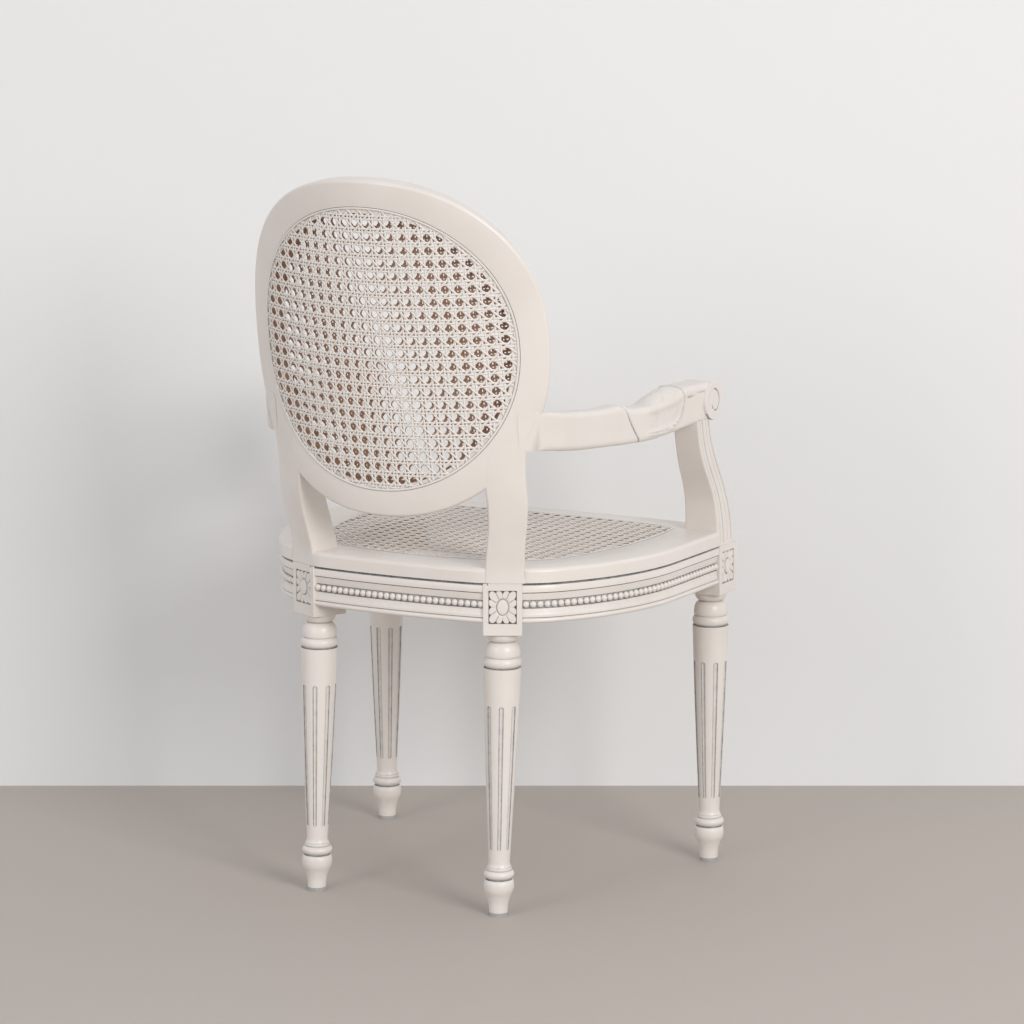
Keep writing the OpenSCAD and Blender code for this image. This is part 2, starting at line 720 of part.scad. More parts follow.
// Dowels across the frame's joints, two side by side at each
module back_dowel_rods(r, l) {
    both() for (th = [crest_a, base_a], w = [0.3, 0.72]) {
        p = frame_point(th, w * frame_width(th), back_t / 2);
        rod(p, frame_point(th + 1, w * frame_width(th), back_t / 2) - p, r, l);
    }
}
module back_dowel_holes() {
    back_dowel_rods(dowel_r + glue_gap / 2, dowel_l + 2);
}
module back_crest() {
    color(paint) difference() {
        frame_piece(crest_a, 180 - crest_a);
        back_dowel_holes();
    }
}
module back_side() {
    difference() {
        frame_piece(base_a, crest_a);
        back_dowel_holes();
        arm_dowel(dowel_r + glue_gap / 2, dowel_l + 2);
    }
}
module back_base() {
    color(paint) difference() {
        frame_piece(180 - base_a, 360 + base_a);
        back_dowel_holes();
    }
}

// Turns a flat drawing into the plane of the back: x across, y up the back, z to the rear
module on_back() {
    translate([0, back_y, back_z]) rotate([90 - back_rake, 0, 0]) mirror([0, 0, 1]) children();
}
shell_h = 2 * (back_in_h + back_top_w) + 60;
module back_shell(r1, r0) {
    translate(back_c) rotate([-back_rake, 0, 0]) difference() {
        cylinder(h = shell_h, r = r1, center = true);
        cylinder(h = shell_h + 2, r = r0, center = true);
    }
}
function in_back_opening(p, m) = pow(abs(p[0]) / (back_in_w - m), back_in_n)
    + pow(abs(p[1]) / (back_in_h - m), back_in_n) < 1;
// A net whose rear face lies t0 deep
module back_net(t0) {
    rim = spline_w + lip_w + 2;
    draw_in = (back_r - t0) / back_r;
    intersection() {
        back_shell(back_r - t0, back_r - t0 - cane_t);
        on_back() linear_extrude(height = 130, center = true) difference() {
            polygon([for (th = [0:frame_step:359]) let (q = oval_in(th) * (1 - (spline_w + 1) / norm(oval_in(th))))
                [q[0] * draw_in, q[1]]]);
            for (i = [-net_rows:net_rows], j = [-net_rows:net_rows]) {
                p = back_cane_pitch * [i, j];
                if (in_back_opening(p, rim)) translate([p[0] * draw_in, p[1]]) cane_hole(back_cane_pitch);
            }
        }
    }
}
module back_spline(t0, t1) {
    w0 = -spline_w + net_seat;
    w1 = -net_seat;
    ring_loft([for (th = [0:frame_step:359])
        [frame_point(th, w0, t0), frame_point(th, w0, t1), frame_point(th, w1, t1), frame_point(th, w1, t0)]]);
}

// Stiles: from the seat up into the oval frame, one timber with the rear legs
// Columns: v up the back, u of the inner edge, u of the outer edge, depth, set-in from the rear face
stile_table = [
    [-325, 134, 185, 46.4, 4.6], [-300, 136, 185, 44, 7], [-270, 140, 187, 42.5, 5], [-240, 144, 190.5, 41.8, 2.2],
    [-210, 144.5, 192.5, 38.6, 0.6], [-180, 143, 192, 34, 0.2], [-155, 146, 193, 29, 0.2], [-130, 153, 197, 26, 0.2]
];
// Half width of the oval that the table's columns u are drawn for
stile_oval_w = 227.1;
stile_round = 4;
function stile_section(v, r, out) = let (k = (back_in_w + back_side_w) / stile_oval_w,
    u0 = k * along(stile_table, v, 1), u1 = k * along(stile_table, v, 2),
    t0 = along(stile_table, v, 4) - out, t1 = along(stile_table, v, 4) + along(stile_table, v, 3))
    [for (q = round_rect(u1 - u0, t1 - t0, r, 2)) back_point((u0 + u1) / 2 + q[0], v, (t0 + t1) / 2 - q[1])];
module stile() {
    difference() {
        loft([for (v = [-325:15:-130]) stile_section(v, stile_round, 0)]);
        difference() {
            cube([4 * rear_leg_x, 8 * rear_leg_y, 2 * rail_top], center = true);
            at_rear_leg() translate([-block_half, -block_half, block_bottom]) cube([block_w, block_w, rail_h + 20]);
        }
        loft([for (th = [-72:6:-12]) room_section(th, 12, -1, back_t + glue_gap)]);
    }
}
// Room for a stile and for all that lies outside it
module stile_room() {
    loft([for (v = [-325, -300, -285]) stile_section(v, 0.5, 30)]);
}
// Room for a stretch of the oval frame, from w0 inside its opening's edge, between depths t0 and t1
function room_section(th, w0, t0, t1) = let (w = frame_width(th) + glue_gap)
    [frame_point(th, -w0, t0), frame_point(th, -w0, t1), frame_point(th, w, t1), frame_point(th, w, t0)];

// Arms
// Columns: distance from the rear end, share of the way outwards, top, underside, width
arm_length = arm_y_rear + scroll_y;
arm_table = [
    [0, -0.02, hand_top + 1, 643, arm_w], [29, 0.16, hand_top - 2, 640.5, arm_w], [72, 0.3, 688, 637, arm_w],
    [116, 0.41, 685, 634.5, arm_w], [150, 0.49, arm_low_top + 2, 633, arm_w], [171, 0.55, arm_low_top, 632, arm_w + 1],
    [204, 0.62, arm_low_top + 1, 632, arm_w + 3], [238, 0.7, hand_top - 5, 633, arm_w + 7],
    [272, 0.76, hand_top - 1, 635, hand_w - 4], [307, 0.84, hand_top, 637, hand_w - 2],
    [340, 0.93, hand_top, 639, hand_w], [arm_length, 1, hand_top, hand_top - 2 * scroll_r, hand_w]
];
function arm_x(s) = arm_x_rear + (arm_x_front - arm_x_rear) * along(arm_table, s, 1);
function arm_section(s) = let (top = along(arm_table, s, 2), low = along(arm_table, s, 3), w = along(arm_table, s, 4))
    [for (q = round_rect(w, top - low, 8, 3)) [arm_x(s) + q[0], arm_y_rear - s, (top + low) / 2 + q[1]]];
arm_steps = 26;
module arm() {
    difference() {
        union() {
            loft([for (i = [0:arm_steps]) arm_section(arm_length * i / arm_steps)]);
            translate([arm_x_front, -scroll_y, hand_top - scroll_r]) rotate([0, 90, 0])
                cylinder(h = hand_w, r = scroll_r, center = true);
        }
        loft([for (th = [-54:6:0]) room_section(th, 40, -20, back_t + 45)]);
        support_loft(glue_gap);
        arm_dowel(dowel_r + glue_gap / 2, dowel_l + 2);
        support_arm_dowel(dowel_r + glue_gap / 2, dowel_l - 10);
    }
}
// Dowel between the arm and the oval frame
arm_joint_a = -30;
module arm_dowel(r, l) {
    p = frame_point(arm_joint_a, frame_width(arm_joint_a), back_t / 2);
    rod(p, frame_point(arm_joint_a, frame_width(arm_joint_a) + 1, back_t / 2) - p, r, l);
}

// Arm supports: swept back from the front legs up into the arms
// Columns: share of the height, y of the front face, y of the rear face, width
support_top = hand_top - 2 * scroll_r - 3 + support_let_in;
support_table = [
    [0, -266, -215.6, block_w - 0.6], [0.14, -259, -211.5, 51], [0.285, -248, -203.5, 48], [0.435, -234.5, -189.5, 44],
    [0.555, -220.5, -175.5, 41], [0.69, -206, -162.5, 38.5], [0.83, -193, -152.5, 36.5], [1, -181, -145, 35]
];
function support_section(h, g) = let (y0 = along(support_table, h, 1), y1 = along(support_table, h, 2),
    w = along(support_table, h, 3), x = front_leg_x + (arm_x_front - front_leg_x) * h)
    [for (q = round_rect(w + 2 * g, y1 - y0 + 2 * g, 4, 2))
        [x + q[0], (y0 + y1) / 2 + q[1], seat_top + (support_top + g - seat_top) * h]];
support_steps = 16;
module support_loft(g) {
    loft([for (i = [0:support_steps]) support_section(i / support_steps, g)]);
}
module arm_support() {
    difference() {
        support_loft(0);
        support_dowel(dowel_r + glue_gap / 2, dowel_l + 2);
        support_arm_dowel(dowel_r + glue_gap / 2, dowel_l - 10);
    }
}
module support_dowel(r, l) {
    rod([front_leg_x, -front_leg_y + 5, seat_top], [0, 0, 1], r, l);
}
module support_arm_dowel(r, l) {
    end = support_table[len(support_table) - 1];
    rod([arm_x_front, (end[1] + end[2]) / 2, support_top], [0, 0, 1], r, l);
}
module arm_dowels() {
    color(bare_wood) both() {
        arm_dowel(dowel_r, dowel_l);
        support_dowel(dowel_r, dowel_l);
        support_arm_dowel(dowel_r, dowel_l - 12);
    }
}

// Sub-parts on their own sides

module rear_leg_left() { color(paint) rear_leg(); }
module rear_leg_right() { color(paint) on_side(right) rear_leg(); }
module front_leg_left() { color(paint) front_leg(); }
module front_leg_right() { color(paint) on_side(right) front_leg(); }
module glide_rear_left() { color(steel) glide([rear_leg_x, rear_foot_y]); }
module glide_rear_right() { color(steel) glide([-rear_leg_x, rear_foot_y]); }
module glide_front_left() { color(steel) glide(front_axis); }
module glide_front_right() { color(steel) on_side(right) glide(front_axis); }
module side_rail_left() { color(paint) side_rail(); }
module side_rail_right() { color(paint) on_side(right) side_rail(); }
module side_border_left() { color(paint) side_border(); }
module side_border_right() { color(paint) on_side(right) side_border(); }
module brace_rear_left() { color(bare_wood) rear_brace(); }
module brace_rear_right() { color(bare_wood) on_side(right) rear_brace(); }
module brace_front_left() { color(bare_wood) front_brace(); }
module brace_front_right() { color(bare_wood) on_side(right) front_brace(); }
module back_side_left() { color(paint) back_side(); }
module back_side_right() { color(paint) on_side(right) back_side(); }
module back_cane_outer() { color(cane_color) back_net(net_seat); }
module back_cane_inner() { color(cane_color) back_net(back_t - net_seat - cane_t); }
module back_spline_outer() { color(paint) back_spline(-0.4, groove_d - net_seat); }
module back_spline_inner() { color(paint) back_spline(back_t - groove_d + net_seat, back_t + 0.4); }
module arm_left() { color(paint) arm(); }
module arm_right() { color(paint) on_side(right) arm(); }
module arm_support_left() { color(paint) arm_support(); }
module arm_support_right() { color(paint) on_side(right) arm_support(); }
module rail_dowels() { color(bare_wood) frame_dowels(dowel_r, dowel_l); }
module back_dowels() { color(bare_wood) back_dowel_rods(dowel_r, dowel_l); }

rear_leg_left();
rear_leg_right();
front_leg_left();
front_leg_right();
glide_rear_left();
glide_rear_right();
glide_front_left();
glide_front_right();
rear_rail();
front_rail();
side_rail_left();
side_rail_right();
rear_border();
front_border();
side_border_left();
side_border_right();
seat_cane();
seat_spline();
brace_rear_left();
brace_rear_right();
brace_front_left();
brace_front_right();
brace_screws();
back_crest();
back_side_left();
back_side_right();
back_base();
back_cane_outer();
back_cane_inner();
back_spline_outer();
back_spline_inner();
arm_left();
arm_right();
arm_support_left();
arm_support_right();
rail_dowels();
back_dowels();
arm_dowels();
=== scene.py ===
import json
import math

import bpy
import numpy as np
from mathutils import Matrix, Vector


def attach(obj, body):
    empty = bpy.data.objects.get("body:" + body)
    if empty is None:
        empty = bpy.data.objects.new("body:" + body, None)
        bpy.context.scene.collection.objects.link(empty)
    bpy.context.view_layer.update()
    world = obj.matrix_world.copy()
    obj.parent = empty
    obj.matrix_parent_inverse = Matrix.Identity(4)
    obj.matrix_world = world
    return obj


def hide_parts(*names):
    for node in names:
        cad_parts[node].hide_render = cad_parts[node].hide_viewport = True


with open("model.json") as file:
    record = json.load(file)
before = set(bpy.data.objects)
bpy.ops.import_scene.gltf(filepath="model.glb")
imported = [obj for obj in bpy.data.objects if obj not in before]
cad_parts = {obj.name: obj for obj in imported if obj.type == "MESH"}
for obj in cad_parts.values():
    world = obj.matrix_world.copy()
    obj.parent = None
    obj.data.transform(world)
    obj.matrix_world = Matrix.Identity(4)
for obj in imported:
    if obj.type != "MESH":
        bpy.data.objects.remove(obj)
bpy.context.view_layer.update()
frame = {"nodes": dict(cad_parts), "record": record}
print("frame loaded")

unit = 0.001  # the sizes below are in millimetres


# Curves and sweeps

def cosSin(angle):
    a = math.radians(angle)
    return math.cos(a), math.sin(a)


def bearing(angle):
    # direction in plan: 0 points to the rear, 90 to the chair's left
    c, s = cosSin(angle)
    return np.array([s, c])


def onArc(centre, radius, angle):
    return np.asarray(centre) + radius * bearing(angle)


def meetSide(centre, radius, angle, x):
    # the arc that leaves another one at an angle and then touches the line at x: its centre and radius
    sine = bearing(angle)[0]
    onward = (x - centre[0] - radius * sine) / (1 - sine)
    return onArc(centre, radius - onward, angle), onward


def arcRows(centre, size, start, end, count, recess=0.0, power=1):
    # outline rows along an ellipse's arc, with one recess or one for each row
    a = np.radians(np.linspace(start, end, count))
    across = centre[0] + size[0] * np.cos(a) ** power
    return list(zip(across, centre[1] + size[1] * np.sin(a), np.broadcast_to(recess, count)))


def smoothStep(low, high, x):
    t = np.clip((x - low) / (high - low), 0, 1)
    return t * t * (3 - 2 * t)


def along(table, place):
    # smooth curve through the rows of a table, whose first column is the place along it
    t = np.array(table, float)
    s = t[:, 0]
    slope = np.array([(t[min(i + 1, len(t) - 1)] - t[max(i - 1, 0)])
                      / (s[min(i + 1, len(t) - 1)] - s[max(i - 1, 0)]) for i in range(len(t))])
    i = int(np.clip(np.searchsorted(s, place) - 1, 0, len(t) - 2))
    w = s[i + 1] - s[i]
    u = (place - s[i]) / w
    return ((2 * u ** 3 - 3 * u ** 2 + 1) * t[i] + (u ** 3 - 2 * u ** 2 + u) * w * slope[i]
            + (3 * u ** 2 - 2 * u ** 3) * t[i + 1] + (u ** 3 - u ** 2) * w * slope[i + 1])[1:]


def roundRect(width, height, radius, perSide, perCorner):
    # anticlockwise from the right side's upper end, with the outward normals
    corners = [np.array([x * (width / 2 - radius), y * (height / 2 - radius)])
               for x, y in ((1, 1), (-1, 1), (-1, -1), (1, -1))]
    points, normals = [], []
    for k in range(4):
        for i in range(perCorner + 1):
            normals.append(np.array(cosSin(90 * (k + i / perCorner))))
            points.append(corners[k] + radius * normals[-1])
        start, end = points[-1], corners[(k + 1) % 4] + radius * normals[-1]
        for i in range(1, perSide):
            normals.append(normals[-1])
            points.append(start + (end - start) * i / perSide)
    return np.array(points), np.array(normals)


def sweepFaces(rows, columns, closedAlong=False):
    # quads between rings of points; each ring is anticlockwise as seen from the sweep's end
    faces = []
    for i in range(rows if closedAlong else rows - 1):
        k = (i + 1) % rows
        for j in range(columns):
            n = (j + 1) % columns
            faces.append((i * columns + j, i * columns + n, k * columns + n, k * columns + j))
    if not closedAlong:
        faces.append(tuple(range(columns - 1, -1, -1)))
        faces.append(tuple((rows - 1) * columns + j for j in range(columns)))
    return faces


def gridFaces(rows, columns):
    return [(i * columns + j, i * columns + j + 1, (i + 1) * columns + j + 1, (i + 1) * columns + j)
            for i in range(rows - 1) for j in range(columns - 1)]


def newObject(name, data):
    thing = bpy.data.objects.new(name, data)
    bpy.context.scene.collection.objects.link(thing)
    return thing


def newPiece(name, points, edges=(), faces=()):
    # points in millimetres
    mesh = bpy.data.meshes.new(name)
    mesh.from_pydata((np.array(points) * unit).tolist(), edges, faces)
    return newObject(name, mesh)


def settle(piece, nodes=()):
    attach(piece, "root")
    if nodes:
        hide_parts(*nodes)


class Build:
    # gathers a painted piece's points and faces, and how deep each point lies in a recess; on some pieces the
    # recess also marks painted shade

    def __init__(self):
        self.points, self.faces, self.recess, self.unpainted = [], [], [], []

    def add(self, points, faces, recess=0.0):
        points = np.asarray(points, float).reshape(-1, 3)
        start = len(self.points)
        self.points.extend(points.tolist())
        self.recess.extend(np.broadcast_to(np.asarray(recess, float).reshape(-1), (len(points),)).tolist())
        self.faces.extend([tuple(start + v for v in f) for f in faces])
        return self

    def sweep(self, rings, recess=0.0, closedAlong=False):
        rows, columns = np.shape(rings)[:2]
        recess = np.broadcast_to(np.asarray(recess, float), (rows, columns))
        return self.add(rings, sweepFaces(rows, columns, closedAlong), recess)

    def mirrored(self):
        other = Build().add(np.array(self.points) * [-1, 1, 1], [f[::-1] for f in self.faces], self.recess)
        other.unpainted = self.unpainted
        return other

    def piece(self, name, node, slot="paint"):
        piece = newPiece(name, self.points, faces=self.faces)
        mesh = piece.data
        mesh.attributes.new("recess", "FLOAT", "POINT").data.foreach_set("value", self.recess)
        mesh.polygons.foreach_set("use_smooth", [True] * len(mesh.polygons))
        mesh.set_sharp_from_angle(angle=math.radians(38))
        mesh.materials.append(materials["agedPaint"])
        if self.unpainted:
            mesh.materials.append(materials["innerWood"])
        for index in self.unpainted:
            mesh.polygons[index].material_index = 1
        mesh.validate()
        mesh.update()
        settle(piece, [node])


def bothSides(build, name, node):
    build.piece(name + "Left", node + "_left")
    build.mirrored().piece(name + "Right", node + "_right")


# Node trees

def newTree(name, kind, inputs, outputs):
    # inputs and outputs: each socket's label and its kind of value
    tree = bpy.data.node_groups.new(name, kind)
    for way, sockets in (("INPUT", inputs), ("OUTPUT", outputs)):
        for label, value in sockets.items():
            tree.interface.new_socket(name=label, in_out=way, socket_type="NodeSocket" + value)
    return tree, tree.nodes.new("NodeGroupInput").outputs, tree.nodes.new("NodeGroupOutput").inputs


def addNode(tree, kind, inputs=None, **settings):
    # each input takes a value or another node's output
    node = tree.nodes.new(kind)
    for name, value in settings.items():
        setattr(node, name, value)
    for label, value in (inputs or {}).items():
        if isinstance(value, bpy.types.NodeSocket):
            tree.links.new(value, node.inputs[label])
        else:
            node.inputs[label].default_value = value
    return node


def mathNode(tree, operation, first, second):
    return addNode(tree, "ShaderNodeMath", {0: first, 1: second}, operation=operation).outputs[0]


def noiseNode(tree, vector, scale, detail, roughness):
    inputs = {"Vector": vector, "Scale": scale, "Detail": detail, "Roughness": roughness}
    return addNode(tree, "ShaderNodeTexNoise", inputs).outputs["Fac"]


def rangeNode(tree, value, low, high, outLow=0.0, outHigh=1.0):
    inputs = {"Value": value, "From Min": low, "From Max": high, "To Min": outLow, "To Max": outHigh}
    return addNode(tree, "ShaderNodeMapRange", inputs, interpolation_type="SMOOTHSTEP").outputs["Result"]


def mixColour(tree, factor, first, second):
    return addNode(tree, "ShaderNodeMix", {0: factor, 6: first, 7: second}, data_type="RGBA").outputs[2]


def placeOf(tree):
    return tree.nodes.new("ShaderNodeTexCoord").outputs["Object"]


def recessOf(tree):
    return addNode(tree, "ShaderNodeAttribute", attribute_name="recess").outputs["Fac"]


def addBump(tree, shader, height, strength, distance):
    bump = addNode(tree, "ShaderNodeBump", {"Height": height, "Strength": strength, "Distance": distance})
    tree.links.new(bump.outputs["Normal"], shader.inputs["Normal"])


def colour(*parts):
    # an sRGB colour, 0 to 255, as the shader wants it
    shares = [c / 255 for c in parts]
    return (*[c / 12.92 if c <= 0.04045 else ((c + 0.055) / 1.055) ** 2.4 for c in shares], 1.0)


# Aged paint: noises as scale, detail and roughness, ranges as where a tone starts and is full

paintLook = {
    "cream": colour(226, 219, 212), "shade": colour(217, 209, 201), "variation": 0.55,
    "haze": colour(183, 183, 181), "washAndShade": colour(78, 80, 80),
    "roughness": 0.33, "washRoughness": 0.62, "bump": (0.12, 0.0006),
    "clouds": (9.0, 3.0, 0.55), "cloudRange": (0.35, 0.7), "brush": (160.0, 3.0, 0.55),
    "blotches": (90.0, 4.0, 0.6), "blotchShare": 0.45, "streaks": (420.0, 2.0, 0.6), "streakShare": 0.3,
    "hazeRange": (0.12, 0.62), "washAndShadeRange": (0.62, 1.12),
}


def patinaAndShadeTree():
    # worn wash in the recesses of a painted surface, with painted shade where a piece marks shade as recess:
    # a pale haze, and dark only in the deepest lines
    look = paintLook
    tree, given, out = newTree("patinaAndShade", "ShaderNodeTree",
                               {"Vector": "Vector", "Recess": "Float", "Paint": "Color", "Haze": "Color",
                                "WashAndShade": "Color"}, {"Color": "Color", "Mask": "Float"})
    edge = given["Recess"]
    for name, share in (("blotches", look["blotchShare"]), ("streaks", look["streakShare"])):
        uneven = mathNode(tree, "SUBTRACT", noiseNode(tree, given["Vector"], *look[name]), 0.5)
        edge = mathNode(tree, "ADD", edge, mathNode(tree, "MULTIPLY", uneven, share))
    haze, washAndShade = rangeNode(tree, edge, *look["hazeRange"]), rangeNode(tree, edge, *look["washAndShadeRange"])
    shade = mixColour(tree, haze, given["Paint"], given["Haze"])
    tree.links.new(mixColour(tree, washAndShade, shade, given["WashAndShade"]), out["Color"])
    tree.links.new(haze, out["Mask"])
    return tree


def brushTree():
    # faint unevenness of brushed paint: a tint and a height
    look = paintLook
    tree, given, out = newTree("brushedPaint", "ShaderNodeTree",
                               {"Vector": "Vector", "Colour": "Color", "Shade": "Color",
                                "Variation": "Float"}, {"Color": "Color", "Height": "Float"})
    clouds = rangeNode(tree, noiseNode(tree, given["Vector"], *look["clouds"]), *look["cloudRange"])
    amount = mathNode(tree, "MULTIPLY", clouds, given["Variation"])
    tree.links.new(mixColour(tree, amount, given["Colour"], given["Shade"]), out["Color"])
    tree.links.new(noiseNode(tree, given["Vector"], *look["brush"]), out["Height"])
    return tree


def newMaterial(name, roughness):
    material = bpy.data.materials.new(name)
    material.use_nodes = True
    tree = material.node_tree
    shader = tree.nodes["Principled BSDF"]
    shader.inputs["Roughness"].default_value = roughness
    return material, tree, shader


def agedPaint():
    look = paintLook
    material, tree, shader = newMaterial("agedPaint", look["roughness"])
    place = placeOf(tree)
    coat = addNode(tree, "ShaderNodeGroup", {"Vector": place, "Colour": look["cream"], "Shade": look["shade"],
                                             "Variation": look["variation"]}, node_tree=brushTree())
    aged = addNode(tree, "ShaderNodeGroup", {"Vector": place, "Recess": recessOf(tree),
                                             "Paint": coat.outputs["Color"], "Haze": look["haze"],
                                             "WashAndShade": look["washAndShade"]}, node_tree=patinaAndShadeTree())
    tree.links.new(aged.outputs["Color"], shader.inputs["Base Color"])
    rough = rangeNode(tree, aged.outputs["Mask"], 0.0, 1.0, look["roughness"], look["washRoughness"])
    tree.links.new(rough, shader.inputs["Roughness"])
    addBump(tree, shader, coat.outputs["Height"], *look["bump"])
    return material


caneLook = {
    "washed": colour(234, 229, 223), "washedShade": colour(212, 204, 196), "bare": colour(199, 165, 141),
    "roughness": 0.55, "fibres": (700.0, 2.0, 0.6), "bump": (0.25, 0.0004),
    "blend": (0.35, 0.75), "unevenness": 0.6,
}


def washedCane():
    # white wash on the outer side, bare cane within
    look = caneLook
    material, tree, shader = newMaterial("washedCane", look["roughness"])
    fibres = noiseNode(tree, placeOf(tree), *look["fibres"])
    uneven = rangeNode(tree, fibres, *look["blend"], 0.0, look["unevenness"])
    washed = mixColour(tree, uneven, look["washed"], look["washedShade"])
    within = rangeNode(tree, recessOf(tree), *look["blend"])
    tree.links.new(mixColour(tree, within, washed, look["bare"]), shader.inputs["Base Color"])
    addBump(tree, shader, fibres, *look["bump"])
    return material


# two tones mixed by a noise; innerWood is the unpainted wood between the two nets of the back
plainLooks = {
    "bareWood": {"roughness": 0.6, "noise": (60.0, 5.0, 0.65), "stretch": (1.0, 6.0, 6.0),
                 "tones": (colour(196, 160, 122), colour(158, 120, 84)), "bump": (0.2, 0.0004)},
    "innerWood": {"roughness": 0.7, "noise": (120.0, 4.0, 0.6),
                  "tones": (colour(190, 156, 132), colour(160, 128, 106))},
    "screwSteel": {"roughness": 0.35, "noise": (500.0, 3.0, 0.6), "metallic": 1.0,
                   "tones": (colour(176, 176, 180), colour(150, 150, 154))},
    "greyGlide": {"roughness": 0.5, "noise": (260.0, 3.0, 0.6),
                  "tones": (colour(182, 181, 180), colour(150, 149, 149)), "bump": (0.2, 0.0003)},
}


def plainMaterial(name, look):
    material, tree, shader = newMaterial(name, look["roughness"])
    shader.inputs["Metallic"].default_value = look.get("metallic", 0.0)
    stretch = {"Vector": placeOf(tree), "Scale": look.get("stretch", (1, 1, 1))}
    stretched = addNode(tree, "ShaderNodeMapping", stretch)
    grain = noiseNode(tree, stretched.outputs["Vector"], *look["noise"])
    tree.links.new(mixColour(tree, grain, *look["tones"]), shader.inputs["Base Color"])
    if "bump" in look:
        addBump(tree, shader, grain, *look["bump"])
    return material


materials = {"agedPaint": agedPaint(), "washedCane": washedCane()}
materials.update({name: plainMaterial(name, look) for name, look in plainLooks.items()})
slotLooks = {"paint": "agedPaint", "cane": "washedCane", "bare_wood": "bareWood", "steel": "screwSteel",
             "glide": "greyGlide"}
for part in frame["record"]["subparts"]:
    cadMesh = frame["nodes"][part["node"]].data
    for index in range(len(cadMesh.materials)):
        cadMesh.materials[index] = materials[slotLooks[part["material_slot"]]]
print("materials ready")


# Seat plan, shared by the rails, the border and the blocks

plan = {
    "rearX": 142.8, "rearY": 149.7, "rearTurn": 27.4, "rearLean": 2.0,
    "frontX": 263.2, "frontY": 242.3,
    "blockWidth": 52.6, "blockBottom": 388.3,
    "seatTop": 479.5, "railTop": 459.7, "railBottom": 404.7,
    "railSet": 1.5, "overhang": 1.5,
    "rearRadius": 989.0, "cornerRadius": 126.0, "cornerStart": 28.7, "cornerEnd": 51.4,
    "frontBow": 10.0,
}
half = plan["blockWidth"] / 2
rearAxis = np.array([plan["rearX"], plan["rearY"]])
frontAxis = np.array([plan["frontX"], -plan["frontY"]])
railMiddle = rearAxis + (half - plan["railSet"]) * bearing(plan["rearTurn"])
rearEnd, sideEnd = [railMiddle + way * half * bearing(plan["rearTurn"] + 90) for way in (-1, 1)]
frontEnd = frontAxis + [-half, -half + plan["railSet"]]
rearCentre = np.array([0, rearEnd[1] - math.sqrt(plan["rearRadius"] ** 2 - rearEnd[0] ** 2)])
rearAngle = math.degrees(math.asin(rearEnd[0] / plan["rearRadius"]))
cornerCentre = onArc(sideEnd, -plan["cornerRadius"], plan["cornerStart"])
sideX = plan["frontX"] + half - plan["railSet"]
sideCentre, sideRadius = meetSide(cornerCentre, plan["cornerRadius"], plan["cornerEnd"], sideX)
straightEnd = half - plan["frontY"]
frontRadius = (frontEnd[0] ** 2 + plan["frontBow"] ** 2) / (2 * plan["frontBow"])
frontCentre = np.array([0, frontEnd[1] - plan["frontBow"] + frontRadius])
frontAngle = math.degrees(math.asin(frontEnd[0] / frontRadius))


def arcPath(centre, radius, start, end, count):
    # x, y and the outward bearing
    return [(*onArc(centre, radius, a), a) for a in np.linspace(start, end, count)]


hiddenAngles = {"rear": 0.4, "side": 3.0, "front": 0.1}  # how far the rails run on into the blocks
rearReach, frontReach = rearAngle + hiddenAngles["rear"], frontAngle + hiddenAngles["front"]
rearPath = arcPath(rearCentre, plan["rearRadius"], -rearReach, rearReach, 40)
frontPath = arcPath(frontCentre, frontRadius, 180 - frontReach, 180 + frontReach, 40)
sideFirst = plan["cornerStart"] - hiddenAngles["side"]
sidePath = (arcPath(cornerCentre, plan["cornerRadius"], sideFirst, plan["cornerEnd"], 22)
            + arcPath(sideCentre, sideRadius, plan["cornerEnd"] + 1, 90, 34)
            + [(sideX, y, 90.0) for y in np.linspace(sideCentre[1], straightEnd - 1, 12)[1:]])


# Rails with mouldings

railLook = {"roll": 3.7, "bed": 4.9, "bedLow": 20.2, "bedHigh": 31.0, "groove": 3.0,
            "lineReaches": (0.9, 1.3, 2.4), "line": 0.8, "lineHaze": 0.22}


def railOutline():
    # x from the outer face, height above the rail's lower edge, recess
    roll, bed, low, high = railLook["roll"], railLook["bed"], railLook["bedLow"], railLook["bedHigh"]
    top, groove = plan["railTop"] - plan["railBottom"], railLook["groove"]
    rows = [(-24, 0, 0), (-roll, 0, 0)] + arcRows((-roll, roll), (roll, roll), -75, 75, 11, 0.05)
    rows += [(-roll + 0.3, 7.35, 0.8), (-3.0, 7.6, 1.0), (-1.2, 8.0, 0.6), (-0.9, 8.3, 0.0),
             (-0.9, 10.8, 0.0), (-1.4, 11.2, 0.25)]
    rows += [(-1.5 - 1.6 * t, 11.2 + (low - 11.7) * t, 0.1 + 0.12 * t) for t in np.linspace(0.1, 1, 7)]
    rows += [(-3.4, low - 0.3, 0.8), (-bed, low, 0.85), (-bed, low + 2.2, 0.72), (-bed, 25.6, 0.68),
             (-bed, high - 2.2, 0.72), (-bed, high, 0.85), (-3.4, high + 0.3, 0.8)]
    rows += [(-3.1 + 1.7 * t, high + 0.6 + (39.7 - high) * t, 0.2 - 0.16 * t) for t in np.linspace(0, 1, 7)]
    # wash and painted shadow in the groove under the border's overhang, at recess 0.9 to 1
    return rows + [(-1.4, 40.7, 0.15), (-2.6, 41.1, 1.0), (-2.6, 41.5, 1.0), (-0.5, 41.9, 0.3),
                   (0, 42.4, 0.0), (0, top - 3.9, 0.0), (-0.4, top - 3.3, 0.3),
                   (-groove, top - 2.8, 0.9), (-groove, top, 1.0), (-24, top, 0)]


